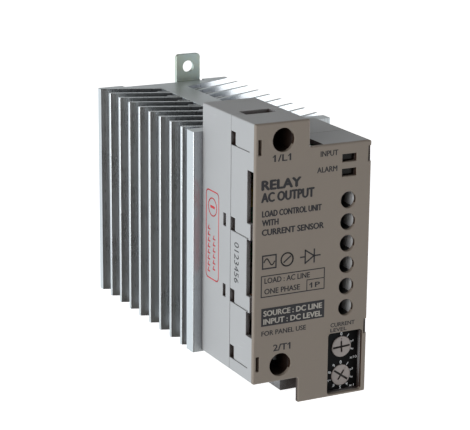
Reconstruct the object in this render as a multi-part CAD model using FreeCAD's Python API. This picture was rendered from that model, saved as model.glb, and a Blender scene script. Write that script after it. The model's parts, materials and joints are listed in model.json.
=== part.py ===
"""Solid state relay on a finned heat sink, for a panel or a 35 mm rail.

Every size is in millimetres.  The relay is drawn from its own corner: X runs
across from the left side, Y runs back from the front cover's face, and Z runs
up from the lowest edge.  When a part is written it is moved so that the origin
is the middle of the two panel-screw holes, on the rear mounting plane.
"""
import FreeCAD, Part
import math
import os

V = FreeCAD.Vector

# Relay body
body_width = 44.6
body_depth = 39.6
body_height = 100.0
cover_t = 1.5
seam_depth = 18.0
wall = 1.6
base_floor_t = 2.0
latch_half = 2.4
latch_y = 14.6
latch_t = 1.2
tower_width = 20.5
tower_rise = 9.4
left_bottom = 9.2
left_bottom_width = 17.5
step_riser_y = 14.6
corner_r = 0.5
cover_edge_r = 0.6
opening_edge_r = 0.2
play = 0.1

# Load terminals
line_x = 10.4
line_inset = 6.0
load_z = 15.1
load_hole_r = 4.1
wire_bay_x0 = 4.5
wire_bay_x1 = 16.2
wire_entry_y0 = 15.8
busbar_y = 21.5
busbar_t = 1.5
load_screw_head_y = 11.0
load_screw_head_r = 3.75
load_screw_head_h = 3.0
load_screw_r = 2.5
load_screw_end_y = 26.0
clamp_t = 1.5
bay_reach = 7.4

# Control terminals
control_x = 35.9
control_z0 = 32.1
control_pitch = 7.7
control_count = 6
control_hole_r = 2.95
control_head_y = 9.2
control_head_r = 2.7
control_head_h = 2.0
control_screw_r = 1.5
control_screw_end_y = 17.3
washer_t = 0.8
contact_y = 15.6
contact_t = 0.8
bay_half = 3.05
block_x0 = 31.0
block_wall = 1.3

# Rotary switches
dial_x = 36.2
dial_z_low = 6.3
dial_pitch = 10.5
dial_r = 3.8
dial_front_y = 2.6
dial_t = 3.0
dial_shaft_r = 1.5
dial_shaft_end_y = 8.6
dial_gap = 0.25
plate_y = 3.0
plate_t = 0.3
switch_side = 10.0
switch_depth = 6.0
window_x0 = 29.25
window_x1 = 42.9
window_z0 = 0.85
window_z1 = 23.25
window_r = 1.0

# Signal lamps
lamp_x0 = 33.1
lamp_x1 = 38.7
lamp_h = 2.8
input_lamp_drop = 5.2
alarm_lamp_drop = 10.3
lamp_front_y = 1.9

# Boards and sealed parts
board_t = 1.6
main_board_y = 30.6
control_board_y = 18.6
pad_t = 0.2
module_t = 3.0
heat_plate_t = 3.2
heat_plate_x0 = 9.0
heat_plate_x1 = 35.6
heat_plate_height = 36.0
heat_plate_lift = 4.0

# Heat sink
sink_width = 55.0
sink_x = 23.8
sink_z0 = 8.8
sink_drop = 10.2
sink_plate_t = 5.5
fin_count = 8
fin_pitch = 9.09
fin_t = 1.65
fin_tip_y = 49.1
fin_sweep = 22.0
fin_tip_r = 0.5
web_width = 11.0
rib_t = 1.0
rib_length = 3.8
rib_gap = 1.0
rear_tip_y = 121.7
recess_y = 121.9
recess_half = 17.2
foot_y = 124.3

# Mounting bracket and rail lock
bracket_t = 1.6
bracket_x0 = 9.0
tab_x = 35.5
tab_width = 10.3
tab_r = 1.5
tab_hole_r = 2.3
tab_height = 10.5
tab_hole_inset = 5.0
mount_y = 127.0
rail_width = 35.0
rail_lip_t = 1.0
rail_gap = 0.2
hook_t = 1.5
hook_reach = 2.1
hook_width = 6.0
slider_x = 15.5
slider_width = 7.0
slider_rib_width = 3.8
slider_flange_t = 1.2
slider_z0 = 3.0
slider_gap = 0.2
slider_nose_h = 4.5
spring_r = 0.8
spring_wire_r = 0.13
spring_turns = 8
spring_margin = 1.0

# Screws
bracket_screw_r = 2.0
bracket_screw_inset = (6.0, 7.0)
housing_screw_r = 1.75
housing_screw_side = 5.0
housing_screw_low = 26.0
housing_screw_drop = 9.8

mid_z = body_height / 2
origin = V(tab_x, mount_y, mid_z)
right_top = body_height - tower_rise
line_z = body_height - line_inset
input_lamp_z = right_top - input_lamp_drop
alarm_lamp_z = right_top - alarm_lamp_drop
latch_left_z = (16.2, 36.6, 62.2, body_height - 7.9)
latch_right_z = (12.5, right_top - 10.1)
heat_plate_z0 = mid_z + heat_plate_lift - heat_plate_height / 2
heat_plate_z1 = heat_plate_z0 + heat_plate_height
sink_z1 = body_height - sink_drop
rail_bottom = mid_z - rail_width / 2
rail_top = mid_z + rail_width / 2
bracket_crank = mount_y - bracket_t - recess_y
plate_z0 = tab_height + bracket_crank
plate_z1 = body_height - plate_z0
slider_nose_z0 = rail_bottom - slider_nose_h
spring_z0 = plate_z0 + 2.5
spring_z1 = slider_nose_z0 - spring_margin
bracket_screw_z = (plate_z0 + bracket_screw_inset[0], plate_z1 - bracket_screw_inset[1])
housing_screw_x = (housing_screw_side, body_width - housing_screw_side)
housing_screw_z = (housing_screw_low, sink_z1 - housing_screw_drop)
line_busbar_end = line_z - 15.0
load_busbar_end = load_z + 28.9
board_z0 = load_z + bay_reach + wall + 0.5
board_z1 = line_z - bay_reach - wall - 0.5
sink_x0 = sink_x - sink_width / 2
sink_x1 = sink_x + sink_width / 2
control_z = [control_z0 + i * control_pitch for i in range(control_count)]
dial_z = [dial_z_low, dial_z_low + dial_pitch]


def box(x0, x1, y0, y1, z0, z1):
    return Part.makeBox(x1 - x0, y1 - y0, z1 - z0, V(x0, y0, z0))


def rod(x, z, y0, y1, r):
    return Part.makeCylinder(r, y1 - y0, V(x, y0, z), V(0, 1, 0))


def square(x, z, y0, y1, half):
    return box(x - half, x + half, y0, y1, z - half, z + half)


def extrude(points, direction):
    wire = Part.makePolygon(points + [points[0]])
    return Part.Face(wire).extrude(direction)


def fuse(shapes):
    joined = shapes[0]
    for shape in shapes[1:]:
        joined = joined.fuse(shape)
    return joined.removeSplitter()


def cut(shape, tools):
    for tool in tools:
        shape = shape.cut(tool)
    return shape


def edges_along(shape, axis, test):
    """Straight edges that run along one axis (0, 1, 2) and pass a test."""
    found = []
    for edge in shape.Edges:
        if not isinstance(edge.Curve, Part.Line):
            continue
        way = edge.Curve.Direction
        if abs((way.x, way.y, way.z)[axis]) > 0.999 and test(edge.CenterOfMass):
            found.append(edge)
    return found


def write(name, shapes):
    """Move a part to the mounting origin and write its STEP file."""
    shape = shapes if isinstance(shapes, Part.Shape) else Part.makeCompound(shapes)
    shape = shape.copy()
    shape.translate(origin.negative())
    shape.exportStep("parts/%s.step" % name)
    print("%-20s %2d solids  %9.1f mm3  valid %s" % (
        name, len(shape.Solids), shape.Volume, shape.isValid()))


def outline(inset):
    """The relay's front outline, drawn in from its edge by inset."""
    return [
        V(inset, 0, left_bottom + inset),
        V(left_bottom_width + inset, 0, left_bottom + inset),
        V(left_bottom_width + inset, 0, inset),
        V(body_width - inset, 0, inset),
        V(body_width - inset, 0, right_top - inset),
        V(tower_width - inset, 0, right_top - inset),
        V(tower_width - inset, 0, body_height - inset),
        V(inset, 0, body_height - inset),
    ]


def prism(inset, y0, y1):
    shape = extrude(outline(inset), V(0, y1 - y0, 0))
    shape.translate(V(0, y0, 0))
    return shape


# ---------------------------------------------------------------- heat sink

def fin(side, front_y, thickness):
    """One fin from the web to its tip, swept forward towards the web."""
    reach = sink_width / 2
    drop = reach * math.tan(math.radians(fin_sweep))
    tip_x = sink_x + side * reach
    points = [
        V(tip_x, front_y, sink_z0),
        V(tip_x, front_y + thickness, sink_z0),
        V(sink_x, front_y + thickness - drop, sink_z0),
        V(sink_x, front_y - drop, sink_z0),
    ]
    shape = extrude(points, V(0, 0, sink_z1 - sink_z0))
    tips = edges_along(shape, 2, lambda c: abs(c.x - tip_x) < 0.01)
    return shape.makeFillet(min(fin_tip_r, thickness * 0.4), tips)


def root_rib(side, front_y):
    """The short rib behind each fin, where the fin meets the web."""
    slope = math.tan(math.radians(fin_sweep))
    lean = fin_t / math.cos(math.radians(fin_sweep)) + rib_gap
    rib_y = rib_t / math.cos(math.radians(fin_sweep))
    tip = web_width / 2 + rib_length
    tip_y = front_y - (sink_width / 2 - tip) * slope + lean
    tip_x = sink_x + side * tip
    points = [
        V(tip_x, tip_y, sink_z0),
        V(tip_x, tip_y + rib_y, sink_z0),
        V(sink_x, tip_y + rib_y - tip * slope, sink_z0),
        V(sink_x, tip_y - tip * slope, sink_z0),
    ]
    return extrude(points, V(0, 0, sink_z1 - sink_z0))


def rear_plate(side):
    """Half of the rear plate: swept in front, flat behind, with one foot."""
    reach = sink_width / 2
    drop = reach * math.tan(math.radians(fin_sweep))
    points = [
        V(sink_x + side * reach, rear_tip_y, sink_z0),
        V(sink_x + side * reach, foot_y, sink_z0),
        V(sink_x + side * recess_half, foot_y, sink_z0),
        V(sink_x + side * recess_half, recess_y, sink_z0),
        V(sink_x, recess_y, sink_z0),
        V(sink_x, rear_tip_y - drop, sink_z0),
    ]
    return extrude(points, V(0, 0, sink_z1 - sink_z0))


def heat_sink():
    front = box(sink_x0, sink_x1, body_depth, body_depth + sink_plate_t, sink_z0, sink_z1)
    ends = edges_along(front, 2, lambda c: True)
    pieces = [front.makeFillet(corner_r, ends)]
    pieces.append(box(sink_x - web_width / 2, sink_x + web_width / 2,
                      body_depth + 1, recess_y, sink_z0, sink_z1))
    half_zone = box(sink_x0, sink_x1, body_depth + sink_plate_t / 2, foot_y,
                    sink_z0, sink_z1)
    for side in (-1, 1):
        pieces.append(rear_plate(side))
        for i in range(fin_count):
            front_y = fin_tip_y + i * fin_pitch
            pieces.append(fin(side, front_y, fin_t).common(half_zone))
            if i > 0:
                pieces.append(root_rib(side, front_y))
    sink = fuse(pieces)
    holes = []
    for z in bracket_screw_z:
        holes.append(rod(sink_x, z, recess_y - 10, recess_y, bracket_screw_r + 0.05))
    for x in housing_screw_x:
        for z in housing_screw_z:
            holes.append(rod(x, z, body_depth, body_depth + sink_plate_t,
                             housing_screw_r + 0.05))
    return cut(sink, holes)


# ------------------------------------------------------------------ bracket

def bracket_tab(way):
    """One cranked tab: way is 1 for the top tab and -1 for the bottom one."""
    front = mount_y - bracket_t
    step = bracket_crank
    end = body_height / 2
    bend = end - tab_height
    lean = bracket_t * math.tan(math.radians(22.5))
    profile = [
        (recess_y, bend - step - 3),
        (recess_y, bend - step),
        (front, bend),
        (front, end),
        (mount_y, end),
        (mount_y, bend - lean),
        (recess_y + bracket_t, bend - step - lean),
        (recess_y + bracket_t, bend - step - 3),
    ]
    points = [V(tab_x - tab_width / 2, y, mid_z + way * z) for y, z in profile]
    tab = extrude(points, V(tab_width, 0, 0))
    corners = edges_along(tab, 1, lambda c: abs(c.z - mid_z) > end - 0.01)
    tab = tab.makeFillet(tab_r, corners)
    hole_z = mid_z + way * (end - tab_hole_inset)
    return tab.cut(rod(tab_x, hole_z, recess_y, mount_y + 1, tab_hole_r))


def mounting_bracket():
    rear = recess_y + bracket_t
    hook_y = rear + rail_lip_t + rail_gap
    plate = box(bracket_x0, tab_x + tab_width / 2, recess_y, rear, plate_z0, plate_z1)
    slot_edge = bracket_screw_r + 0.25
    holes = [rod(sink_x, z, recess_y, rear, slot_edge) for z in bracket_screw_z]
    pieces = [cut(plate, holes), bracket_tab(1), bracket_tab(-1)]
    for x0 in (slider_x - hook_width / 2, tab_x - hook_width / 2):
        riser_z0 = rail_top + 0.3
        pieces.append(box(x0, x0 + hook_width, rear, hook_y + hook_t,
                          riser_z0, riser_z0 + bracket_t))
        pieces.append(box(x0, x0 + hook_width, hook_y, hook_y + hook_t,
                          rail_top - hook_reach, riser_z0 + bracket_t))
    # folded lips that guide the rail lock
    guide_z0 = plate_z0
    guide_z1 = slider_nose_z0 - 4.5
    edge = slider_width / 2 + slider_gap
    lip_y = rear + play + slider_flange_t + slider_gap
    lip_in = slider_rib_width / 2 + slider_gap
    for side in (-1, 1):
        leg = sorted((slider_x + side * edge, slider_x + side * (edge + 0.8)))
        lip = sorted((slider_x + side * lip_in, slider_x + side * (edge + 0.8)))
        pieces.append(box(leg[0], leg[1], rear, lip_y + 0.8, guide_z0, guide_z1))
        pieces.append(box(lip[0], lip[1], lip_y, lip_y + 0.8, guide_z0, guide_z1))
    # post that the lock's spring pushes against
    pieces.append(box(slider_x - 0.7, slider_x + 0.7, rear, rear + 1.7,
                      spring_z0 - 1, spring_z0))
    return fuse(pieces)


def pan_screw(x, z, seat_y, head_r, head_h, shank_r, end_y, way):
    """A screw along Y: its head stands off seat_y against way, its shank runs
    along way to end_y, and a cross slot is cut in its head."""
    head_y = seat_y - way * head_h
    head = rod(x, z, min(head_y, seat_y), max(head_y, seat_y), head_r)
    rim = [e for e in head.Edges
           if isinstance(e.Curve, Part.Circle) and abs(e.Curve.Center.y - head_y) < 0.01]
    head = head.makeFillet(head_h * 0.3, rim)
    shank = rod(x, z, min(seat_y, end_y), max(seat_y, end_y), shank_r)
    screw = fuse([head, shank])
    slot = []
    depth = head_h * 0.45
    y0 = min(head_y, head_y + way * depth)
    arm = head_r * 0.62
    half = head_r * 0.13
    slot.append(box(x - arm, x + arm, y0, y0 + depth, z - half, z + half))
    slot.append(box(x - half, x + half, y0, y0 + depth, z - arm, z + arm))
    return cut(screw, slot)


def bracket_screws():
    seat = recess_y + bracket_t
    return [pan_screw(sink_x, z, seat, 3.4, 2.0, bracket_screw_r, recess_y - 8.5, -1)
            for z in bracket_screw_z]


def rail_lock():
    """The sliding lock: a flanged strip with a nose behind the rail's lip."""
    front = recess_y + bracket_t + play
    nose_y = recess_y + bracket_t + rail_lip_t + rail_gap
    back = nose_y + hook_t
    shelf = rail_bottom - 0.5
    x0 = slider_x - slider_width / 2
    x1 = slider_x + slider_width / 2
    r0 = slider_x - slider_rib_width / 2
    r1 = slider_x + slider_rib_width / 2
    flange = box(x0, x1, front, front + slider_flange_t, slider_z0, shelf)
    rib = box(r0, r1, front, back, slider_z0, shelf)
    nose = extrude([
        V(x0, nose_y, slider_nose_z0),
        V(x0, back, slider_nose_z0),
        V(x0, back, rail_bottom + 0.4),
        V(x0, nose_y + 0.5, rail_bottom + hook_reach),
        V(x0, nose_y, rail_bottom + hook_reach),
    ], V(slider_width, 0, 0))
    neck = box(x0, x1, front, back, slider_nose_z0, shelf)
    lock = fuse([flange, rib, nose, neck])
    pocket = box(slider_x - 1.1, slider_x + 1.1, front - 1, front + 2.1,
                 spring_z0 - 1.5, spring_z1)
    tool_slot = box(slider_x - 1.2, slider_x + 1.2, front - 1, back + 1,
                    slider_z0 + 1.4, slider_z0 + 3.2)
    return cut(lock, [pocket, tool_slot])


def lock_spring():
    inset = spring_wire_r + 0.02
    height = spring_z1 - spring_z0 - 2 * inset
    helix = Part.makeHelix(height / spring_turns, height, spring_r)
    ring = Part.Wire(Part.makeCircle(spring_wire_r, V(spring_r, 0, 0), V(0, 1, 0)))
    coil = Part.Wire(helix).makePipeShell([ring], True, True)
    y = recess_y + bracket_t + play + 1.05
    coil.translate(V(slider_x, y, spring_z0 + inset))
    return coil


# ------------------------------------------------------------- relay housing

def wire_bay(z_in, way):
    """The room of one load terminal, open to the outside along way in Z."""
    tower_end = body_height if way > 0 else left_bottom
    z_far = tower_end - way * wall
    z_near = z_in - way * bay_reach
    room = box(wire_bay_x0, wire_bay_x1, load_screw_head_y - 0.3, busbar_y,
               min(z_near, z_far), max(z_near, z_far))
    mouth = box(wire_bay_x0, wire_bay_x1, wire_entry_y0, busbar_y,
                min(z_in, tower_end + way), max(z_in, tower_end + way))
    well = square(line_x, z_in, cover_t - 1, load_screw_head_y, load_hole_r + 0.1)
    return [room, mouth, well]


def base_latches(grow):
    """The hooks of the base that reach forward inside the case's walls."""
    hooks = []
    x_in = wall + play - grow
    for z in latch_left_z:
        hooks.append(box(x_in, x_in + latch_t + grow, latch_y + 0.6, seam_depth + 3,
                         z - latch_half + 0.2 - grow, z + latch_half - 0.2 + grow))
    for z in latch_right_z:
        x_out = body_width - x_in
        hooks.append(box(x_out - latch_t - grow, x_out, latch_y + 0.6, seam_depth + 3,
                         z - latch_half + 0.2 - grow, z + latch_half - 0.2 + grow))
    return hooks


def tower_blocks(y0, y1):
    """Solid filling round the two load terminals, between two depths."""
    inside = prism(wall / 2, y0, y1)
    top = box(0, tower_width - wall / 2, y0, y1, line_z - bay_reach - wall, body_height)
    low = box(0, tower_width - wall / 2, y0, y1, left_bottom, load_z + bay_reach + wall)
    return [top.common(inside), low.common(inside)]


def base_housing():
    shell = prism(0, seam_depth, body_depth)
    rear = [e for e in edges_along(shell, 1, lambda c: True)]
    shell = shell.makeFillet(corner_r, rear)
    shell = shell.cut(prism(wall, seam_depth - 1, body_depth - base_floor_t))
    pieces = [shell] + tower_blocks(seam_depth, busbar_y + busbar_t + 5)
    # bosses under the four screws that hold the housing to the heat sink
    for x in housing_screw_x:
        for z in housing_screw_z:
            pieces.append(rod(x, z, body_depth - base_floor_t - 1.0,
                              body_depth - base_floor_t, 4.0))
    base = fuse(pieces)
    tools = wire_bay(line_z, 1) + wire_bay(load_z, -1)
    for z, way in ((line_z, 1), (load_z, -1)):
        tools.append(rod(line_x, z, busbar_y, busbar_y + busbar_t + 4,
                         load_screw_r + 0.4))
        near = z - way * (bay_reach + wall + 1)
        far = z + way * 4.2
        tools.append(box(wire_bay_x0, wire_bay_x1, busbar_y, busbar_y + busbar_t,
                         min(near, far), max(near, far)))
    tools.append(box(heat_plate_x0 - play, heat_plate_x1 + play,
                     body_depth - base_floor_t - 2, body_depth + 1,
                     heat_plate_z0 - play, heat_plate_z1 + play))
    for x in housing_screw_x:
        for z in housing_screw_z:
            tools.append(rod(x, z, body_depth - base_floor_t - 2, body_depth,
                             housing_screw_r + 0.2))
    # the two openings in the left side
    for z in (36.85, 62.3):
        tools.append(box(-1, wall + 0.1, 21.4, 23.6, z - 2.3, z + 2.3))
    base = cut(base, tools)
    # the latches grow from the walls, so a short root joins each one
    roots = []
    for hook in base_latches(0):
        b = hook.BoundBox
        side_x0 = wall / 2 if b.XMin < body_width / 2 else b.XMin
        side_x1 = b.XMax if b.XMin < body_width / 2 else body_width - wall / 2
        roots.append(box(side_x0, side_x1, seam_depth + 0.3, seam_depth + 3,
                         b.ZMin, b.ZMax))
    base = fuse([base] + base_latches(0) + roots)
    return cut(base, wire_bay(line_z, 1) + wire_bay(load_z, -1))


def control_bay(z):
    """Well, screw room and wire entry of one control terminal."""
    room = box(control_x - bay_half, body_width - wall - play, control_head_y, seam_depth + 1,
               z - bay_half, z + bay_half)
    well = square(control_x, z, 0, control_head_y + 1, control_hole_r)
    entry = box(body_width - wall - 3, body_width + 1, 11.9, 15.5, z - 2.5, z + 2.5)
    return [room, well, entry]


def control_block():
    """The moulded block that holds the six control terminals."""
    low_z = control_z[0] - bay_half - block_wall
    high_z = control_z[-1] + bay_half + block_wall
    block = box(block_x0, body_width - wall - play, cover_t, seam_depth - 0.15, low_z, high_z)
    tools = []
    for z in control_z:
        tools += control_bay(z)
    return cut(block, tools)


def switch_pocket():
    """Room for the scale plate and the two rotary switches behind the cover."""
    view = box(window_x0, window_x1, cover_t - 1, plate_y, window_z0, window_z1)
    room = box(window_x0 - 0.3, window_x1 + 0.1, plate_y, seam_depth + 1,
               window_z0 + 0.1, window_z1 + 0.4)
    return [view, room]


def front_case():
    shell = prism(0, cover_t, seam_depth - 0.15)
    shell = shell.makeFillet(corner_r, edges_along(shell, 1, lambda c: True))
    shell = shell.cut(prism(wall, cover_t - 1, seam_depth + 1))
    end_y = seam_depth - 0.15
    pieces = [shell] + tower_blocks(cover_t, end_y)
    pieces.append(box(window_x0 - wall, body_width - wall / 2, cover_t, seam_depth - 6,
                      wall / 2, window_z1 + wall))
    pieces.append(box(lamp_x0 - wall, body_width - wall / 2, cover_t, 11.0,
                      alarm_lamp_z - lamp_h / 2 - wall, right_top - wall / 2))
    case = fuse(pieces)
    # the step under the left tower: the case stands back behind the cover's foot
    step_x1 = window_x0 - wall
    tools = [box(left_bottom_width - 1, step_x1, cover_t - 1, step_riser_y - wall,
                 -1, left_bottom)]
    tools += wire_bay(line_z, 1) + wire_bay(load_z, -1) + switch_pocket()
    for z in control_z:
        tools.append(control_bay(z)[2])
    for z in (input_lamp_z, alarm_lamp_z):
        tools.append(box(lamp_x0, lamp_x1, cover_t - 1, 12, z - lamp_h / 2, z + lamp_h / 2))
    # windows over the latches, and room for the latches behind them
    for z in latch_left_z:
        tools.append(box(-1, wall + 0.2, latch_y, seam_depth, z - latch_half, z + latch_half))
        tools.append(box(-1, 0.35, 4.6, latch_y + 0.1, z - latch_half, z - latch_half + 0.45))
    for z in latch_right_z:
        tools.append(box(body_width - wall - 0.2, body_width + 1, latch_y, seam_depth,
                         z - latch_half, z + latch_half))
    tools += base_latches(play)
    # cover-hook slots along the left side
    slot_top = line_z - bay_reach - wall - 1.5
    tools.append(box(-1, 1.0, cover_t - 1, 3.4, 25.5, slot_top))
    for z0, z1 in ((25.5, 34.0), (39.7, 59.6), (65.2, slot_top)):
        tools.append(box(-1, wall + 0.1, cover_t - 1, 6.0, z0, z1))
    # slots that take the cover's snap hooks
    for x0, x1, z0, z1 in hook_places():
        tools.append(box(x0 - 0.15, x1 + 0.15, cover_t - 1, 6.4, z0 - 0.15, z1 + 0.15))
    # slot beside the tower
    tools.append(box(tower_width + wall, 26.5, cover_t - 1, 12.0,
                     right_top - wall - 0.1, right_top + 1))
    case = cut(case, tools)
    # wall that closes the step under the left tower
    riser = box(left_bottom_width + wall / 2, step_x1 + wall / 2,
                step_riser_y - wall, step_riser_y, wall / 2, left_bottom + wall)
    ceiling = box(left_bottom_width + wall / 2, step_x1 + wall / 2,
                  cover_t, step_riser_y, left_bottom, left_bottom + wall)
    return fuse([case, riser, ceiling])


def hook_places():
    """X and Z limits of the cover's four snap hooks."""
    places = []
    for z0, z1 in ((body_height - 10.4, body_height - 5.4), (13.9, 18.9)):
        places.append((1.0, 2.1, z0, z1))
    for z0, z1 in ((right_top - 7.2, right_top - 1.8), (23.9, 26.9)):
        places.append((body_width - 1.3, body_width - 0.1, z0, z1))
    return places


def front_cover():
    sheet = prism(0, 0, cover_t)
    sheet = sheet.makeFillet(corner_r, edges_along(sheet, 1, lambda c: True))
    rim = [e for e in sheet.Edges if abs(e.BoundBox.YMin) < 0.01 and e.BoundBox.YMax < 0.01]
    sheet = sheet.makeFillet(cover_edge_r, rim)
    window = box(window_x0, window_x1, -1, cover_t + 1, window_z0, window_z1)
    window = window.makeFillet(window_r, edges_along(window, 1, lambda c: True))
    tools = [window]
    for z in (line_z, load_z):
        tools.append(rod(line_x, z, -1, cover_t + 1, load_hole_r))
    for z in control_z:
        tools.append(rod(control_x, z, -1, cover_t + 1, control_hole_r))
    for z in (input_lamp_z, alarm_lamp_z):
        tools.append(box(lamp_x0, lamp_x1, -1, cover_t + 1, z - lamp_h / 2, z + lamp_h / 2))
    sheet = cut(sheet, tools)
    front = max((f for f in sheet.Faces if abs(f.BoundBox.YMax) < 0.01),
                key=lambda f: f.Area)
    rims = [e for w in front.Wires if not w.isSame(front.OuterWire) for e in w.Edges]
    sheet = sheet.makeFillet(opening_edge_r, rims)
    # moulding slots over the hooks, and open notches at the right edge
    tools = []
    for z0, z1 in ((body_height - 10.6, body_height - 5.2), (13.7, 19.1)):
        tools.append(box(0.9, 2.2, -1, cover_t - 0.5, z0, z1))
    for z0, z1 in ((right_top - 7.3, right_top - 1.7), (21.5, 26.9)):
        tools.append(box(body_width - 1.4, body_width + 1, -1, cover_t - 0.5, z0, z1))
    tools.append(rod(body_width + 0.4, mid_z, -1, 0.5, 1.0))
    cover = cut(sheet, tools)
    hooks = []
    for x0, x1, z0, z1 in hook_places():
        hooks.append(box(x0, x1, cover_t - 0.4, 6.0, z0, z1))
    return fuse([cover] + hooks)


# ------------------------------------------------------------ load terminals

def load_screw(z):
    seat = load_screw_head_y + load_screw_head_h
    return pan_screw(line_x, z, seat, load_screw_head_r, load_screw_head_h,
                     load_screw_r, load_screw_end_y, 1)


def wire_clamps():
    seat = load_screw_head_y + load_screw_head_h
    side = load_screw_head_r + 1.0
    clamps = []
    for z in (line_z, load_z):
        plate = box(line_x - side, line_x + side, seat, seat + clamp_t, z - 4.2, z + 4.2)
        plate = plate.makeFillet(0.4, edges_along(plate, 1, lambda c: True))
        clamps.append(plate.cut(rod(line_x, z, seat - 1, seat + 3, load_screw_r + 0.05)))
    return clamps


def busbar(z, way, end_z):
    """A tinned strip under one load screw, with a leg into the main board."""
    x0 = wire_bay_x0 + 0.3
    x1 = wire_bay_x1 - 0.3
    back = busbar_y + busbar_t
    tip = z + way * 4.0
    near = z - way * (bay_reach + wall)
    head = box(x0, x1, busbar_y, back, min(tip, near), max(tip, near))
    strip = box(line_x - 3, line_x + 3, busbar_y, back, min(near, end_z), max(near, end_z))
    leg_z = end_z + way * busbar_t
    leg = box(line_x - 3, line_x + 3, busbar_y, main_board_y,
              min(end_z, leg_z), max(end_z, leg_z))
    pins = [box(line_x + dx, line_x + dx + 1.2, main_board_y - 0.1,
                main_board_y + board_t, min(end_z, leg_z) + 0.2, max(end_z, leg_z) - 0.2)
            for dx in (-2.4, 1.2)]
    bar = fuse([head, strip, leg] + pins)
    return bar.cut(rod(line_x, z, busbar_y - 1, back + 1, load_screw_r + 0.05))


# --------------------------------------------------------- control terminals

def control_screw(z):
    seat = control_head_y + control_head_h
    return pan_screw(control_x, z, seat, control_head_r, control_head_h,
                     control_screw_r, control_screw_end_y, 1)


def control_washers():
    seat = control_head_y + control_head_h
    plates = []
    for z in control_z:
        plate = box(control_x - 2.8, control_x + 2.8, seat, seat + washer_t, z - 2.8, z + 2.8)
        plates.append(plate.cut(rod(control_x, z, seat - 1, seat + 2, control_screw_r + 0.05)))
    return plates


def control_contacts():
    contacts = []
    for z in control_z:
        bar = box(control_x - 2.9, control_x + 4.4, contact_y, contact_y + contact_t,
                  z - 2.6, z + 2.6)
        leg = box(control_x - 2.9, control_x - 2.1, contact_y, control_board_y,
                  z - 1.0, z + 1.0)
        contact = fuse([bar, leg])
        hole = rod(control_x, z, contact_y - 1, contact_y + 2, control_screw_r + 0.05)
        contacts.append(contact.cut(hole))
    return contacts


# ------------------------------------------------------------ switches, lamps

def scale_plate():
    plate = box(window_x0 - 0.2, window_x1, plate_y + 0.02, plate_y + plate_t,
                window_z0 + 0.2, window_z1 + 0.3)
    holes = [rod(dial_x, z, 0, 9, dial_r + dial_gap) for z in dial_z]
    return cut(plate, holes)


def switch_bodies():
    front = plate_y + plate_t
    bodies = []
    for z in dial_z:
        half = switch_side / 2
        body = box(dial_x - half, dial_x + half, front, front + switch_depth,
                   z - half, z + half)
        body = body.makeFillet(0.3, edges_along(body, 1, lambda c: True))
        well = rod(dial_x, z, 0, dial_front_y + dial_t + dial_gap, dial_r + dial_gap)
        bore = rod(dial_x, z, 0, dial_shaft_end_y + 0.1, dial_shaft_r + 0.05)
        bodies.append(cut(body, [well, bore]))
    return bodies


def dial(z, turn):
    """A switch rotor: a disc with a cross slot, a pointer nick and a shaft."""
    disc = rod(dial_x, z, dial_front_y, dial_front_y + dial_t, dial_r)
    rim = [e for e in disc.Edges
           if isinstance(e.Curve, Part.Circle) and abs(e.Curve.Center.y - dial_front_y) < 0.01]
    disc = disc.makeFillet(0.25, rim)
    shaft = rod(dial_x, z, dial_front_y + dial_t, dial_shaft_end_y, dial_shaft_r)
    y0 = dial_front_y - 1
    y1 = dial_front_y + 0.9
    long_arm = box(dial_x - 3.4, dial_x + 3.4, y0, y1, z - 0.38, z + 0.38)
    short_arm = box(dial_x - 0.38, dial_x + 0.38, y0, y1, z - 2.0, z + 2.0)
    nick = box(dial_x - 0.15, dial_x + 0.15, y0, dial_front_y + 0.25, z + 2.0, z + 3.2)
    rotor = cut(fuse([disc, shaft]), [long_arm, short_arm, nick])
    rotor.rotate(V(dial_x, 0, z), V(0, 1, 0), turn)
    return rotor


def switch_board():
    y0 = plate_y + plate_t + switch_depth
    board = box(window_x0 + 0.2, window_x1 - 0.1, y0, y0 + board_t,
                window_z0 + 0.4, window_z1 + 0.1)
    pins = [box(dial_x - 4 + i * 2.0, dial_x - 3.4 + i * 2.0, y0 + board_t - 0.2,
                control_board_y, z - 0.3, z + 0.3)
            for z in dial_z for i in range(5)]
    return fuse([board] + pins)


def lamp(z):
    """A rectangular lamp: lens in front, moulded body and two wires behind."""
    gap = 0.15
    lens = box(lamp_x0 + gap, lamp_x1 - gap, lamp_front_y, 9.0,
               z - lamp_h / 2 + gap, z + lamp_h / 2 - gap)
    lens = lens.makeFillet(0.3, edges_along(lens, 0, lambda c: c.y < lamp_front_y + 0.1))
    wires = [box(x, x + 0.5, 8.8, control_board_y, z - 0.25, z + 0.25)
             for x in (lamp_x0 + 1.3, lamp_x1 - 1.8)]
    return fuse([lens] + wires)


# ------------------------------------------------------------ boards, inside

def control_board():
    edge = body_width - wall - play - latch_t - 0.2
    return box(27.0, edge, control_board_y, control_board_y + board_t,
               wall + 0.4, right_top - wall - 0.4)


def main_board():
    board = box(wall + 0.3, body_width - wall - 0.3, main_board_y, main_board_y + board_t,
                board_z0, board_z1)
    holes = []
    for end_z, way in ((line_busbar_end, 1), (load_busbar_end, -1)):
        z0 = min(end_z, end_z + way * busbar_t)
        for dx in (-2.4, 1.2):
            holes.append(box(line_x + dx - 0.05, line_x + dx + 1.25, main_board_y - 1,
                             main_board_y + board_t + 1, z0 + 0.15, z0 + busbar_t - 0.15))
    for x in housing_screw_x:
        for z in housing_screw_z:
            holes.append(rod(x, z, main_board_y - 1, main_board_y + board_t + 1, 2.6))
    return cut(board, holes)


def heat_plate_front():
    return body_depth - pad_t - heat_plate_t


def thermal_plate():
    front = heat_plate_front()
    slab = box(heat_plate_x0, heat_plate_x1, front, front + heat_plate_t,
               heat_plate_z0, heat_plate_z1)
    flange = box(heat_plate_x0 - 1.5, heat_plate_x1 + 1.5, front,
                 body_depth - base_floor_t, heat_plate_z0 - 1.5, heat_plate_z1 + 1.5)
    return fuse([slab, flange])


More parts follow.
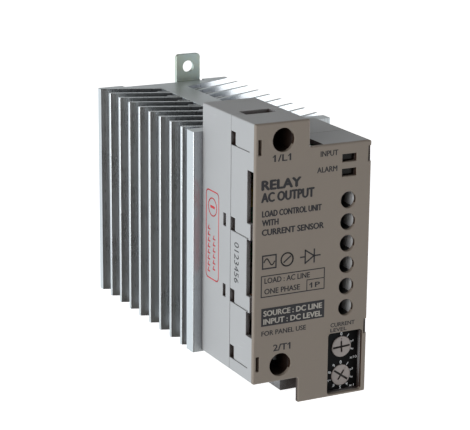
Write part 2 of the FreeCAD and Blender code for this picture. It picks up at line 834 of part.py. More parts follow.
def thermal_pad():
    return box(heat_plate_x0, heat_plate_x1, body_depth - pad_t, body_depth,
               heat_plate_z0, heat_plate_z1)


def power_module():
    back = heat_plate_front()
    front = back - module_t
    block = box(heat_plate_x0 + 3, heat_plate_x1 - 3, front, back,
                heat_plate_z0 + 4, heat_plate_z1 - 4)
    block = block.makeFillet(0.6, edges_along(block, 1, lambda c: True))
    legs = [box(x, x + 1.0, main_board_y + board_t, front + 0.1,
                heat_plate_z0 + 5.0, heat_plate_z0 + 5.6)
            for x in (14.0, 18.6, 23.2, 27.8)]
    return fuse([block] + legs)


def housing_screws():
    seat = body_depth - base_floor_t - 1.0
    return [pan_screw(x, z, seat, 3.0, 2.0, housing_screw_r, body_depth + 4.6, 1)
            for x in housing_screw_x for z in housing_screw_z]


def current_transformer():
    """The ring that measures the load current, round the load busbar."""
    y = busbar_y + busbar_t / 2
    z0 = load_z + 14.9
    outer = Part.makeCylinder(7.6, 9.0, V(line_x, y, z0), V(0, 0, 1))
    outer = outer.makeFillet(1.2, [e for e in outer.Edges if isinstance(e.Curve, Part.Circle)])
    return outer.cut(Part.makeCylinder(4.2, 11.0, V(line_x, y, z0 - 1), V(0, 0, 1)))


def on_board(share):
    """The height at a share of the way up the main board."""
    return board_z0 + share * (board_z1 - board_z0)


def board_parts_block(x0, x1, height, z0, z1, leg_x):
    """A box-shaped component on the main board, with two legs in it."""
    y0 = main_board_y - 0.6 - height
    body = box(x0, x1, y0, main_board_y - 0.6, z0, z1)
    body = body.makeFillet(0.5, edges_along(body, 1, lambda c: True))
    z = (z0 + z1) / 2
    legs = [box(x, x + 0.6, main_board_y - 0.7, main_board_y, z - 0.3, z + 0.3)
            for x in leg_x]
    return fuse([body] + legs)


def snubber_capacitor():
    z0 = on_board(0.69)
    return board_parts_block(3.6, 16.6, 9.0, z0, z0 + 7.0, (5.0, 14.6))


def surge_absorber():
    disc = Part.makeCylinder(5.2, 3.6, V(5.4, main_board_y - 7.2, on_board(0.53)), V(1, 0, 0))
    disc = disc.makeFillet(0.9, [e for e in disc.Edges if isinstance(e.Curve, Part.Circle)])
    legs = [box(6.9, 7.5, main_board_y - 3.4, main_board_y, z, z + 0.6)
            for z in (on_board(0.53) - 2.6, on_board(0.53) + 1.9)]
    return fuse([disc] + legs)


def photocouplers():
    couplers = []
    for z0 in (on_board(0.46), on_board(0.62), on_board(0.79)):
        body = box(20.0, 26.4, main_board_y - 4.2, main_board_y - 0.7, z0, z0 + 7.0)
        legs = [box(x, x + 0.9, main_board_y - 2.6, main_board_y, z0 + dz, z0 + dz + 0.5)
                for x in (19.2, 26.3) for dz in (1.0, 3.25, 5.5)]
        couplers.append(fuse([body] + legs))
    return couplers


def drive_resistors():
    z0 = on_board(0.04)
    return [board_parts_block(x0, x0 + 3.2, 3.2, z0, z0 + 11.0, (x0 + 1.3,))
            for x0 in (20.5, 25.0)]


def board_header():
    back = control_board_y + board_t
    z0 = on_board(0.32)
    return box(29.5, 40.3, back, main_board_y, z0, z0 + 2.5)


def alarm_chip():
    """The controller that watches the load current, on the control board."""
    front = control_board_y + board_t
    z0 = on_board(0.56)
    body = box(30.5, 38.5, front + 0.1, front + 1.6, z0, z0 + 8.0)
    legs = []
    for i in range(6):
        z = z0 + 0.9 + i * 1.2
        legs.append(box(29.3, 30.6, front, front + 0.6, z, z + 0.4))
        legs.append(box(38.4, 39.7, front, front + 0.6, z, z + 0.4))
    return fuse([body] + legs)


def main():
    os.makedirs("parts", exist_ok=True)
    write("heat_sink", heat_sink())
    write("mounting_bracket", mounting_bracket())
    write("bracket_screws", bracket_screws())
    write("rail_lock", rail_lock())
    write("lock_spring", lock_spring())
    write("base_housing", base_housing())
    write("front_case", front_case())
    write("control_block", control_block())
    write("front_cover", front_cover())
    write("housing_screws", housing_screws())
    write("line_screw", load_screw(line_z))
    write("load_screw", load_screw(load_z))
    write("wire_clamps", wire_clamps())
    write("line_busbar", busbar(line_z, 1, line_busbar_end))
    write("load_busbar", busbar(load_z, -1, load_busbar_end))
    for i, z in enumerate(control_z):
        write("control_screw_%d" % (control_count - i), control_screw(z))
    write("control_washers", control_washers())
    write("control_contacts", control_contacts())
    write("scale_plate", scale_plate())
    write("switch_bodies", switch_bodies())
    write("units_dial", dial(dial_z[0], 35.0))
    write("tens_dial", dial(dial_z[1], -3.0))
    write("switch_board", switch_board())
    write("input_lamp", lamp(input_lamp_z))
    write("alarm_lamp", lamp(alarm_lamp_z))
    write("control_board", control_board())
    write("main_board", main_board())
    write("thermal_plate", thermal_plate())
    write("thermal_pad", thermal_pad())
    write("power_module", power_module())
    write("current_transformer", current_transformer())
    write("snubber_capacitor", snubber_capacitor())
    write("surge_absorber", surge_absorber())
    write("photocouplers", photocouplers())
    write("drive_resistors", drive_resistors())
    write("board_header", board_header())
    write("alarm_chip", alarm_chip())


main()
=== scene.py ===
"""Looks of a solid state relay on a finned heat sink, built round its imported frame.

The file is laid out as an add-on and run as a script.  It loads the frame, and then
one operator makes each group of pieces.  Sizes whose names end in MM are millimetres,
and every other length is in metres.
"""
import json
import math

import bmesh
import bpy
from bpy.props import FloatProperty, FloatVectorProperty, IntProperty, PointerProperty
from mathutils import Matrix, Vector


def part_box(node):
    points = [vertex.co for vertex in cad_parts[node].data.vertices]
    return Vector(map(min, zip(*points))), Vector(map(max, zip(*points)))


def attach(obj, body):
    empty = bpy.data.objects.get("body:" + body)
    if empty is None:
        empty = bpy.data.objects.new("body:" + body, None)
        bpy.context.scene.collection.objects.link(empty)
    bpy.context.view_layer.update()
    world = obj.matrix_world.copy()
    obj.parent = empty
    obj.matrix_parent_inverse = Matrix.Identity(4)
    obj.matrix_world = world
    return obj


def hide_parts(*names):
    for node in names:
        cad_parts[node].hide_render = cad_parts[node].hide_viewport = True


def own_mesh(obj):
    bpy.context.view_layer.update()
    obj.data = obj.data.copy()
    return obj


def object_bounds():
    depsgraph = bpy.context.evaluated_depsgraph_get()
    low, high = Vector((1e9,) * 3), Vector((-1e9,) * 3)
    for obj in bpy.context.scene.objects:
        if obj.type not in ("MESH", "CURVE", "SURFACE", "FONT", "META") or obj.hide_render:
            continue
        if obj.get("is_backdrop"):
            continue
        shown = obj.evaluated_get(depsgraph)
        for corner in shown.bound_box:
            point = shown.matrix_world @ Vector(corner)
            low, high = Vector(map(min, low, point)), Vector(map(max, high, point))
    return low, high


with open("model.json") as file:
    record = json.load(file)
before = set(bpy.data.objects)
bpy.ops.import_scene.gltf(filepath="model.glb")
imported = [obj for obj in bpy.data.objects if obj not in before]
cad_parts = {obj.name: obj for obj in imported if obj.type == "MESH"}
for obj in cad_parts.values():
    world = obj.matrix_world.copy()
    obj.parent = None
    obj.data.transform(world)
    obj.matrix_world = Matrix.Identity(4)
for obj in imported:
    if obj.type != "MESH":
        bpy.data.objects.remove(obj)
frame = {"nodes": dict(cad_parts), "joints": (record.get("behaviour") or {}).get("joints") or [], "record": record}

bl_info = {
    "name": "Solid state relay",
    "version": (1, 0, 0),
    "blender": (4, 5, 0),
    "location": "View3D > Sidebar > Relay",
    "description": "Makes the pieces, finishes and stage of a finned solid state relay",
    "category": "Object",
}

MM = 0.001
MERGE = 2e-6
FLAT_ANGLE = math.radians(1.0)
SHARP_ANGLE = math.radians(38.0)
SMOOTH_ANGLE = math.radians(24.0)
LAYER = 1.5e-6
PATCH_ANGLE = math.radians(0.4)
ROUND_ANGLE = math.radians(50.0)
FLAT_SHARE = 0.4
GREY = (0.5, 0.5, 0.5, 1.0)
PALE_GREY = (0.7, 0.7, 0.7, 1.0)
# Painted shade, mixed into openings and recesses that ambient occlusion finds closed in.
OPENING_SHADE = (0.028, 0.014, 0.010, 1.0)
# Painted shade for the wells of the terminal comb.
WELL_PAINTED_SHADE = (0.006, 0.004, 0.003, 1.0)
# Painted shade, dark brown, for the feet and right walls of the cover's slots.
SLOT_PAINTED_SHADE = (0.035, 0.016, 0.008, 1.0)
CROSS_PAINTED_SHADE = (0.02, 0.014, 0.012, 1.0)
# Painted shade multiplied into the heat sink's faces down between the fins.
GAP_PAINTED_SHADE = (0.36, 0.35, 0.37, 1.0)
SURFACE = [("Colour", "Color"), ("Roughness", "Float"), ("Normal", "Vector")]
CAP_SHARE = 0.70
DIM_SIDE = (-0.28, -0.92, -0.27)
FACE_FRONT = Matrix.Rotation(math.radians(90), 4, "X")
FACE_LEFT_DOWN = Matrix(((0, 0, -1, 0), (0, -1, 0, 0), (-1, 0, 0, 0), (0, 0, 0, 1)))

COVER_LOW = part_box("front_cover")[0]
CONTROL_SCREWS = sorted(n for n in frame["nodes"] if n.startswith("control_screw_"))


# ------------------------------------------------------------------ settings

def colour_property(name, description, default):
    return FloatVectorProperty(name=name, description=description, default=default,
                               size=3, min=0.0, max=1.0, subtype="COLOR")


def length_property(name, description, default):
    return FloatProperty(name=name, description=description, default=default,
                         min=0.0, precision=5, unit="LENGTH")


class PlasticFinish(bpy.types.PropertyGroup):
    """Colours and edges of the moulded parts."""

    case_colour: colour_property("Case", "Colour of the base and the case",
                                 (0.445, 0.447, 0.455))
    # The cover's colour is darker and browner than the case's, though both are the same plastic: painted shade for
    # the cover's front face.
    cover_colour: colour_property("Cover", "Colour of the front cover",
                                  (0.27, 0.226, 0.188))
    dial_colour: colour_property("Dials", "Colour of the switch rotors",
                                 (0.42, 0.37, 0.35))
    black_colour: colour_property("Black parts", "Colour of the switch bodies",
                                  (0.012, 0.012, 0.013))
    lamp_colour: colour_property("Lamps", "Colour of the unlit lamp windows",
                                 (0.006, 0.004, 0.003))
    edge_radius: length_property("Edge", "Rounding of moulded edges", 0.00012)
    # How far round a point the painted shade in openings looks.
    dark_reach: length_property("Opening", "Size of openings that look dark", 0.012)
    grain_size: length_property("Grain", "Size of the moulded grain", 0.00022)
    grain_depth: FloatProperty(name="Grain depth", default=0.22, min=0.0, max=1.0,
                               description="Strength of the moulded grain")


class MetalFinish(bpy.types.PropertyGroup):
    """Colours and edges of the metal parts."""

    # How far round a point the painted shade between the fins looks.
    dull_reach: length_property("Dull", "Gap whose inner faces look dull", 0.012)
    aluminium_colour: colour_property("Aluminium", "Colour of the anodised heat sink",
                                      (0.62, 0.645, 0.66))
    zinc_colour: colour_property("Zinc", "Colour of the plated bracket",
                                 (0.60, 0.66, 0.62))
    steel_colour: colour_property("Steel", "Colour of the plated screws",
                                  (0.56, 0.55, 0.53))
    tin_colour: colour_property("Tin", "Colour of the tinned copper",
                                (0.66, 0.65, 0.63))
    copper_colour: colour_property("Copper", "Colour of the bare thermal plate",
                                   (0.78, 0.42, 0.28))
    edge_radius: length_property("Edge", "Rounding of cut metal edges", 0.0001)
    line_depth: FloatProperty(name="Line depth", default=0.25, min=0.0, max=1.0,
                              description="Strength of the drawn and sawn lines")


class PrintSettings(bpy.types.PropertyGroup):
    """Inks and letter sizes of the printing."""

    dark_ink: colour_property("Dark ink", "Ink of the words on the cover",
                              (0.030, 0.028, 0.032))
    pale_ink: colour_property("Pale ink", "Ink of the words on the dark block",
                              (0.42, 0.39, 0.35))
    white_ink: colour_property("White ink", "Ink of the switch digits",
                               (0.80, 0.82, 0.84))
    red_ink: colour_property("Red ink", "Ink of the mark on the left side",
                             (0.60, 0.035, 0.045))
    ink_height: length_property("Ink", "How far the ink stands off its face", 0.00003)
    digit_size: length_property("Digits", "Height of the switch digits", 0.0012)
    digit_radius: length_property("Digit ring", "Radius of the ring of digits", 0.00466)


class ScrewSettings(bpy.types.PropertyGroup):
    """Threads of the screws and coil of the lock's spring."""

    load_pitch: length_property("Load pitch", "Thread pitch of the load screws", 0.0008)
    control_pitch: length_property("Control pitch", "Thread pitch of the control screws",
                                   0.0005)
    core_share: FloatProperty(name="Core", default=0.84, min=0.5, max=1.0,
                              description="Core radius as a share of the thread's radius")
    spring_turns: IntProperty(name="Spring turns", default=8, min=2,
                              description="Turns of the lock's spring")


class StageSettings(bpy.types.PropertyGroup):
    """Camera, lights and floor."""

    camera_place: FloatVectorProperty(name="Camera", default=(-0.30564, -0.63825, 0.17944),
                                      description="Where the camera stands",
                                      subtype="TRANSLATION", unit="LENGTH")
    camera_turn: FloatProperty(name="Turn", default=math.radians(27.19), subtype="ANGLE",
                               description="How far the camera looks to the right of +Y")
    camera_dip: FloatProperty(name="Dip", default=math.radians(15.47), subtype="ANGLE",
                              description="How far the camera looks down")
    camera_roll: FloatProperty(name="Roll", default=math.radians(0.52), subtype="ANGLE",
                               description="How far the camera leans")
    lens: FloatProperty(name="Lens", default=138.5, min=1.0,
                        description="Focal length in millimetres")
    floor_side: length_property("Floor", "Side of the square floor", 8.0)
    sky_strength: FloatProperty(name="Sky", default=1.15, min=0.0,
                                description="Brightness of the surroundings")
    key_power: FloatProperty(name="Key", default=6.0, min=0.0, subtype="POWER",
                             description="Power of the large light on the left")
    fill_power: FloatProperty(name="Fill", default=3.0, min=0.0, subtype="POWER",
                              description="Power of the large light on the right")


# ------------------------------------------------------------------- meshes

def from_corner(x_mm, y_mm, z_mm):
    """A point given in millimetres from the relay's lower left front corner."""
    return COVER_LOW + Vector((x_mm, y_mm, z_mm)) * MM


def middle(node):
    low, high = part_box(node)
    return (low + high) / 2


def clean_copy(node):
    """A bmesh of a CAD node, its doubles merged and its flat faces joined."""
    bm = bmesh.new()
    bm.from_mesh(frame["nodes"][node].data)
    bmesh.ops.remove_doubles(bm, verts=bm.verts, dist=MERGE)
    bmesh.ops.dissolve_limit(bm, angle_limit=FLAT_ANGLE, verts=bm.verts, edges=bm.edges)
    bmesh.ops.connect_verts_concave(bm, faces=bm.faces)
    return bm


def can_round(edge, width):
    """Whether an edge is sharp and has room round it for a bevel of this width."""
    if not edge.is_manifold or edge.calc_face_angle(0) < SHARP_ANGLE:
        return False
    around = [e for v in edge.verts for e in v.link_edges]
    return min(e.calc_length() for e in around) > width * 1.6


def round_edges(bm, width, segments=2):
    """Rounds the sharp edges and marks the new faces in the attribute called edge."""
    worn = bm.faces.layers.float.get("edge") or bm.faces.layers.float.new("edge")
    sharp = [e for e in bm.edges if can_round(e, width)]
    if not sharp:
        return
    made = bmesh.ops.bevel(bm, geom=sharp, offset=width, offset_type="OFFSET",
                           segments=segments, profile=0.5, clamp_overlap=False,
                           affect="EDGES")
    for face in made["faces"]:
        face[worn] = 1.0


def breadths(bm):
    """About the size, across its narrow way, of the flat patch that holds each face."""
    found = {}
    for start in bm.faces:
        if start in found:
            continue
        patch = {start}
        stack = [start]
        rim = 0.0
        while stack:
            for edge in stack.pop().edges:
                if edge.calc_face_angle(math.pi) > PATCH_ANGLE:
                    rim += edge.calc_length()
                    continue
                fresh = [face for face in edge.link_faces if face not in patch]
                patch.update(fresh)
                stack += fresh
        size = 2 * sum(face.calc_area() for face in patch) / max(rim, MERGE)
        found.update((face, size) for face in patch)
    return found


def finish_mesh(bm, name, smooth=SMOOTH_ANGLE):
    """A mesh with soft shading on its curves and plain shading on its flats."""
    worn = bm.faces.layers.float.get("edge")
    bm.normal_update()
    sizes = breadths(bm)
    for face in bm.faces:
        face.smooth = True
    for edge in bm.edges:
        turn = edge.calc_face_angle(math.pi)
        near = [sizes[face] for face in edge.link_faces]
        rounded = [bool(worn) and face[worn] > 0.5 for face in edge.link_faces]
        limit = ROUND_ANGLE if all(rounded) else smooth
        beside_flat = min(near) < max(near) * FLAT_SHARE or any(rounded) != all(rounded)
        edge.smooth = turn < limit and not (turn > FLAT_ANGLE and beside_flat)
    mesh = bpy.data.meshes.new(name)
    bm.to_mesh(mesh)
    bm.free()
    return mesh


def add_box(bm, low, high):
    """Adds a closed box between two corners."""
    low = Vector(low)
    high = Vector(high)
    size = high - low
    place = Matrix.Translation((low + high) / 2) @ Matrix.Diagonal((*size, 1.0))
    bmesh.ops.create_cube(bm, size=1.0, matrix=place)


def islands(bm):
    """The vertices of each separate solid in a bmesh."""
    left = set(bm.verts)
    found = []
    while left:
        stack = [left.pop()]
        group = []
        while stack:
            vert = stack.pop()
            group.append(vert)
            for edge in vert.link_edges:
                other = edge.other_vert(vert)
                if other in left:
                    left.remove(other)
                    stack.append(other)
        found.append(group)
    return found


def add_piece(name, mesh, body, slot, material, *replaced):
    """Links a finished mesh as a piece that rides on a body."""
    piece = bpy.data.objects.new(name, mesh)
    bpy.context.scene.collection.objects.link(piece)
    mesh.materials.clear()
    mesh.materials.append(material)
    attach(piece, body)
    if replaced:
        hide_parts(*replaced)
    return piece


def body_of(node):
    for body, members in frame["record"]["behaviour"]["bodies"].items():
        if node in members:
            return body
    raise RuntimeError("no body holds " + node)


def rounded_piece(name, node, width, slot, material, segments=2):
    """A piece that stands for a CAD node, with its edges rounded."""
    bm = clean_copy(node)
    round_edges(bm, width, segments)
    mesh = finish_mesh(bm, name)
    return add_piece(name, mesh, body_of(node), slot, material, node)


def dress(node, material):
    """Gives a CAD node that stays its material."""
    mesh = frame["nodes"][node].data
    mesh.materials.clear()
    mesh.materials.append(material)


# ------------------------------------------------------------ geometry trees

def feed(tree, socket, value):
    """Joins a socket to another socket, or gives it a fixed value."""
    if isinstance(value, bpy.types.NodeSocket):
        tree.links.new(value, socket)
    else:
        socket.default_value = value


def add_node(tree, kind, inputs, **settings):
    """A new node with its settings made and its inputs fed."""
    made = tree.nodes.new(kind)
    for label, setting in settings.items():
        setattr(made, label, setting)
    for slot, value in inputs.items():
        feed(tree, made.inputs[slot], value)
    return made


def new_group(name, tree_type, inputs, outputs):
    """A node group, the sockets that it is given and the sockets that it fills."""
    tree = bpy.data.node_groups.new(name, tree_type)
    for label, kind, default in inputs:
        socket = tree.interface.new_socket(label, in_out="INPUT",
                                           socket_type="NodeSocket" + kind)
        if default is not None:
            socket.default_value = default
    for label, kind in outputs:
        tree.interface.new_socket(label, in_out="OUTPUT", socket_type="NodeSocket" + kind)
    return (tree, tree.nodes.new("NodeGroupInput").outputs,
            tree.nodes.new("NodeGroupOutput").inputs)


def end_tree(tree, shape, given, result):
    """Places what a tree has made, realizes it and sets its material."""
    place = add_node(tree, "GeometryNodeTransform", {
        "Geometry": shape, "Rotation": given["Turn"], "Translation": given["Place"]})
    real = add_node(tree, "GeometryNodeRealizeInstances", {
        "Geometry": place.outputs["Geometry"]})
    paint = add_node(tree, "GeometryNodeSetMaterial", {
        "Geometry": real.outputs["Geometry"], "Material": given["Material"]})
    feed(tree, result["Geometry"], paint.outputs["Geometry"])
    return tree


SHAPE = [("Geometry", "Geometry")]
PLACING = [
    ("Turn", "Rotation", None),
    ("Place", "Vector", (0.0, 0.0, 0.0)),
    ("Material", "Material", None),
]


def helix_tree():
    """A wire wound along Z: threads, springs and windings are made with it."""
    tree, given, result = new_group("wound wire", "GeometryNodeTree", [
        ("Radius", "Float", 0.002),
        ("Height", "Float", 0.01),
        ("Turns", "Float", 10.0),
        ("Steps", "Int", 28),
        ("Wire Radius", "Float", 0.0003),
        ("Wire Sides", "Int", 6)] + PLACING, SHAPE)
    path = add_node(tree, "GeometryNodeCurveSpiral", {
        "Resolution": given["Steps"], "Rotations": given["Turns"],
        "Start Radius": given["Radius"], "End Radius": given["Radius"],
        "Height": given["Height"]})
    wire = add_node(tree, "GeometryNodeCurvePrimitiveCircle", {
        "Resolution": given["Wire Sides"], "Radius": given["Wire Radius"]})
    sweep = add_node(tree, "GeometryNodeCurveToMesh", {
        "Fill Caps": True, "Curve": path.outputs["Curve"],
        "Profile Curve": wire.outputs["Curve"]})
    return end_tree(tree, sweep.outputs["Mesh"], given, result)


def rows_tree():
    """Equal studs in rows: grip ribs and solder joints are made with it."""
    tree, given, result = new_group("rows of studs", "GeometryNodeTree", [
        ("Across", "Int", 2),
        ("Along", "Int", 2),
        ("Width", "Float", 0.01),
        ("Length", "Float", 0.01),
        ("Foot", "Float", 0.001),
        ("Head", "Float", 0.0005),
        ("Height", "Float", 0.001),
        ("Sides", "Int", 8),
        ("Stretch", "Vector", (1.0, 1.0, 1.0))] + PLACING, SHAPE)
    grid = add_node(tree, "GeometryNodeMeshGrid", {
        "Size X": given["Width"], "Size Y": given["Length"],
        "Vertices X": given["Across"], "Vertices Y": given["Along"]})
    stud = add_node(tree, "GeometryNodeMeshCone", {
        "Vertices": given["Sides"], "Radius Bottom": given["Foot"],
        "Radius Top": given["Head"], "Depth": given["Height"]})
    copy = add_node(tree, "GeometryNodeInstanceOnPoints", {
        "Points": grid.outputs["Mesh"], "Instance": stud.outputs["Mesh"],
        "Scale": given["Stretch"]})
    return end_tree(tree, copy.outputs["Instances"], given, result)


def tree_named(name, builder):
    return bpy.data.node_groups.get(name) or builder()


def grown(tree, values):
    """The bmesh that a tree makes with these inputs, its normals facing out."""
    holder = bpy.data.objects.new("holder", bpy.data.meshes.new("holder"))
    bpy.context.scene.collection.objects.link(holder)
    modifier = holder.modifiers.new("tree", "NODES")
    modifier.node_group = tree
    sockets = {s.name: s.identifier for s in tree.interface.items_tree
               if s.in_out == "INPUT"}
    for label, value in values.items():
        modifier[sockets[label]] = value
    bpy.context.view_layer.update()
    made = holder.evaluated_get(bpy.context.evaluated_depsgraph_get())
    mesh = bpy.data.meshes.new_from_object(made)
    holder.modifiers.remove(modifier)
    bpy.data.objects.remove(holder)
    bm = bmesh.new()
    bm.from_mesh(mesh)
    bpy.data.meshes.remove(mesh)
    bmesh.ops.remove_doubles(bm, verts=bm.verts, dist=MERGE / 10)
    bmesh.ops.recalc_face_normals(bm, faces=bm.faces)
    if bm.calc_volume(signed=True) < 0:
        bmesh.ops.reverse_faces(bm, faces=bm.faces)
    return bm


def join_into(bm, other):
    """Adds one bmesh to another and frees the one that was added."""
    spare = bpy.data.meshes.new("spare")
    other.to_mesh(spare)
    other.free()
    bm.from_mesh(spare)
    bpy.data.meshes.remove(spare)


# ------------------------------------------------------------------- shaders

def value_node(tree, operation, first, second):
    """A Math node; each of its two values is a number or a socket."""
    return add_node(tree, "ShaderNodeMath", {0: first, 1: second},
                    operation=operation).outputs[0]


def scaled(tree, value, factor):
    return value_node(tree, "MULTIPLY", value, factor)


def added(tree, first, second):
    return value_node(tree, "ADD", first, second)


def vector_node(tree, operation, first, second):
    return add_node(tree, "ShaderNodeVectorMath", {0: first, 1: second},
                    operation=operation).outputs[0]


def split_up(tree, vector):
    """The three parts of a vector, as outputs named X, Y and Z."""
    return add_node(tree, "ShaderNodeSeparateXYZ", {"Vector": vector}).outputs


def mix_colours(tree, share, first, second, blend="MIX"):
    return add_node(tree, "ShaderNodeMix", {"Factor": share, 6: first, 7: second},
                    data_type="RGBA", blend_type=blend).outputs[2]


def noise(tree, place, scale, detail=3.0, rough=0.55):
    return add_node(tree, "ShaderNodeTexNoise", {
        "Detail": detail, "Roughness": rough, "Vector": place,
        "Scale": scale}).outputs["Fac"]


def remap(tree, value, low, high, new_low, new_high):
    """Runs smoothly from one value to another as the given value crosses a range."""
    return add_node(tree, "ShaderNodeMapRange", {
        "Value": value, "From Min": low, "From Max": high, "To Min": new_low,
        "To Max": new_high}, interpolation_type="SMOOTHSTEP").outputs["Result"]


def bump(tree, height, strength, distance):
    return add_node(tree, "ShaderNodeBump", {
        "Distance": distance, "Height": height,
        "Strength": strength}).outputs["Normal"]


def object_place(tree):
    return tree.nodes.new("ShaderNodeTexCoord").outputs["Object"]


def shader_group(name, inputs, outputs):
    return new_group(name, "ShaderNodeTree", inputs, outputs)


def grain_group():
    """Moulded plastic: fine spark-eroded grain and faint cloudiness."""
    tree, given, result = shader_group("moulded grain", [
        ("Colour", "Color", GREY), ("Grain Size", "Float", 0.0002),
        ("Grain Depth", "Float", 0.2), ("Cloud", "Float", 0.05),
        ("Roughness", "Float", 0.55)], SURFACE)
    place = object_place(tree)
    scale = value_node(tree, "DIVIDE", 1.0, given["Grain Size"])
    fine = noise(tree, place, scale, 2.0, 0.6)
    broad = noise(tree, place, 55.0, 4.0, 0.6)
    speck = noise(tree, place, scaled(tree, scale, 0.45), 2.0, 0.5)
    blotch = remap(tree, broad, 0.3, 0.7, 0.0, 1.0)
    specks = remap(tree, speck, 0.35, 0.65, 0.0, 1.0)
    drift = added(tree, scaled(tree, blotch, 0.7), scaled(tree, specks, 0.3))
    shade = value_node(tree, "SUBTRACT", drift, 0.5)
    level = added(tree, 1.0, scaled(tree, shade, given["Cloud"]))
    feed(tree, result["Colour"], vector_node(tree, "MULTIPLY", given["Colour"], level))
    feed(tree, result["Roughness"],
         added(tree, given["Roughness"], scaled(tree, shade, 0.12)))
    feed(tree, result["Normal"], bump(tree, fine, given["Grain Depth"], 0.03 * MM))
    return tree


def line_group():
    """Drawn, rolled or sawn metal: fine lines along one direction."""
    tree, given, result = shader_group("metal lines", [
        ("Colour", "Color", (0.6, 0.6, 0.6, 1.0)), ("Across", "Vector", (3000.0, 3000.0, 40.0)),
        ("Depth", "Float", 0.2), ("Roughness", "Float", 0.35)], SURFACE)
    place = object_place(tree)
    drawn = vector_node(tree, "MULTIPLY", place, given["Across"])
    lines = noise(tree, drawn, 1.0, 3.0, 0.65)
    broad = noise(tree, vector_node(tree, "MULTIPLY", drawn, (0.12, 0.12, 0.12)), 1.0, 2.0)
    patch = noise(tree, place, 90.0, 3.0, 0.5)
    tone = added(tree, scaled(tree, lines, 0.10), scaled(tree, broad, 0.08))
    spread = scaled(tree, value_node(tree, "SUBTRACT", lines, 0.5), 0.16)
    haze = scaled(tree, value_node(tree, "SUBTRACT", patch, 0.5), 0.12)
    feed(tree, result["Colour"], vector_node(tree, "MULTIPLY", given["Colour"],
                                             added(tree, tone, 0.91)))
    feed(tree, result["Roughness"],
         added(tree, given["Roughness"], added(tree, spread, haze)))
    feed(tree, result["Normal"], bump(tree, lines, given["Depth"], 0.02 * MM))
    return tree


def wear_group():
    """Lightens rounded edges where a noise says that they have rubbed."""
    tree, given, result = shader_group("edge wear", [
        ("Colour", "Color", GREY), ("Worn Colour", "Color", PALE_GREY),
        ("Amount", "Float", 0.5)], [("Colour", "Color")])
    edge = add_node(tree, "ShaderNodeAttribute", {}, attribute_name="edge")
    rubbed = remap(tree, noise(tree, object_place(tree), 700.0, 4.0, 0.6),
                   0.35, 0.75, 0.25, 1.0)
    mask = scaled(tree, edge.outputs["Fac"], rubbed)
    share = scaled(tree, mask, given["Amount"])
    feed(tree, result["Colour"],
         mix_colours(tree, share, given["Colour"], given["Worn Colour"]))
    return tree


def marks_group():
    """Faint handling marks: thin scuffs and a little settled dust."""
    tree, given, result = shader_group("faint marks", [
        ("Colour", "Color", GREY), ("Mark Colour", "Color", PALE_GREY),
        ("Amount", "Float", 0.3), ("Roughness", "Float", 0.5)],
        [("Colour", "Color"), ("Roughness", "Float")])
    place = object_place(tree)
    warp = vector_node(tree, "MULTIPLY", place, (260.0, 90.0, 1500.0))
    scuff = remap(tree, noise(tree, warp, 1.0, 2.0, 0.4), 0.66, 0.74, 0.0, 1.0)
    where = remap(tree, noise(tree, place, 45.0, 2.0, 0.5), 0.5, 0.62, 0.0, 1.0)
    speck = remap(tree, noise(tree, place, 1900.0, 1.0, 0.3), 0.72, 0.78, 0.0, 1.0)
    marked = value_node(tree, "MAXIMUM", scaled(tree, scuff, where),
                        scaled(tree, speck, 0.5))
    share = scaled(tree, marked, given["Amount"])
    feed(tree, result["Colour"],
         mix_colours(tree, share, given["Colour"], given["Mark Colour"]))
    feed(tree, result["Roughness"],
         added(tree, given["Roughness"], scaled(tree, share, 0.15)))
    return tree


GROUPS = {
    "moulded grain": grain_group,
    "metal lines": line_group,
    "edge wear": wear_group,
    "faint marks": marks_group,
}


def place_group(tree, name, values):
    """The outputs of a shared group, placed in a material with its own values."""
    known = bpy.data.node_groups.get(name) or GROUPS[name]()
    made = add_node(tree, "ShaderNodeGroup", {}, node_tree=known)
    for label, value in values.items():
        feed(tree, made.inputs[label], value)
    return made.outputs


def new_material(name):
    """A node material and its Principled shader."""
    material = bpy.data.materials.new(name)
    material.use_nodes = True
    return material, material.node_tree, material.node_tree.nodes["Principled BSDF"]


def coat(tree, shader, colour, rough, normal, metallic=0.0):
    """Feeds the parts of a finish to a Principled shader."""
    feed(tree, shader.inputs["Base Color"], colour)
    feed(tree, shader.inputs["Roughness"], rough)
    feed(tree, shader.inputs["Normal"], normal)
    shader.inputs["Metallic"].default_value = metallic


def rgba(colour, factor=1.0):
    return tuple(min(1.0, c * factor) for c in colour) + (1.0,)


def open_share(tree, reach, low, high):
    """How open the room round a point is: 0 down in a gap and 1 in the open; it sets where shade is painted."""
    near = add_node(tree, "ShaderNodeAmbientOcclusion", {"Distance": reach}, samples=8)
    return remap(tree, near.outputs["AO"], low, high, 0.0, 1.0)


def moulded(name, colour, roughness=0.55, cloud=0.05, wear=0.35, marks=0.25, size=None,
            depth=None, sheen=0.5, reach=0.0, painted_shading=None):
    """A moulded plastic with grain, rubbed edges, faint marks, painted shade in its openings and any painted light
    and shade that a part adds.
    """
    known = bpy.data.materials.get(name)
    if known:
        return known
    finish = bpy.context.scene.relay_plastic
    material, tree, shader = new_material(name)
    grain = place_group(tree, "moulded grain", {
        "Colour": rgba(colour), "Cloud": cloud, "Roughness": roughness,
        "Grain Size": finish.grain_size if size is None else size,
        "Grain Depth": finish.grain_depth if depth is None else depth})
    worn = place_group(tree, "edge wear", {
        "Colour": grain["Colour"], "Worn Colour": rgba(colour, 1.35), "Amount": wear})
    marked = place_group(tree, "faint marks", {
        "Colour": worn["Colour"], "Mark Colour": rgba(colour, 1.3), "Amount": marks,
        "Roughness": grain["Roughness"]})
    shown = marked["Colour"]
    # Painted shade: darkens openings and recesses that ambient occlusion finds closed in.
    if reach:
        shown = mix_colours(tree, open_share(tree, reach, 0.33, 0.74), OPENING_SHADE, shown)
    # Painted light and shade that a part adds to its colour.
    if painted_shading:
        shown = painted_shading(tree, shown)
    coat(tree, shader, shown, marked["Roughness"], grain["Normal"])
    shader.inputs["Specular IOR Level"].default_value = sheen
    return material


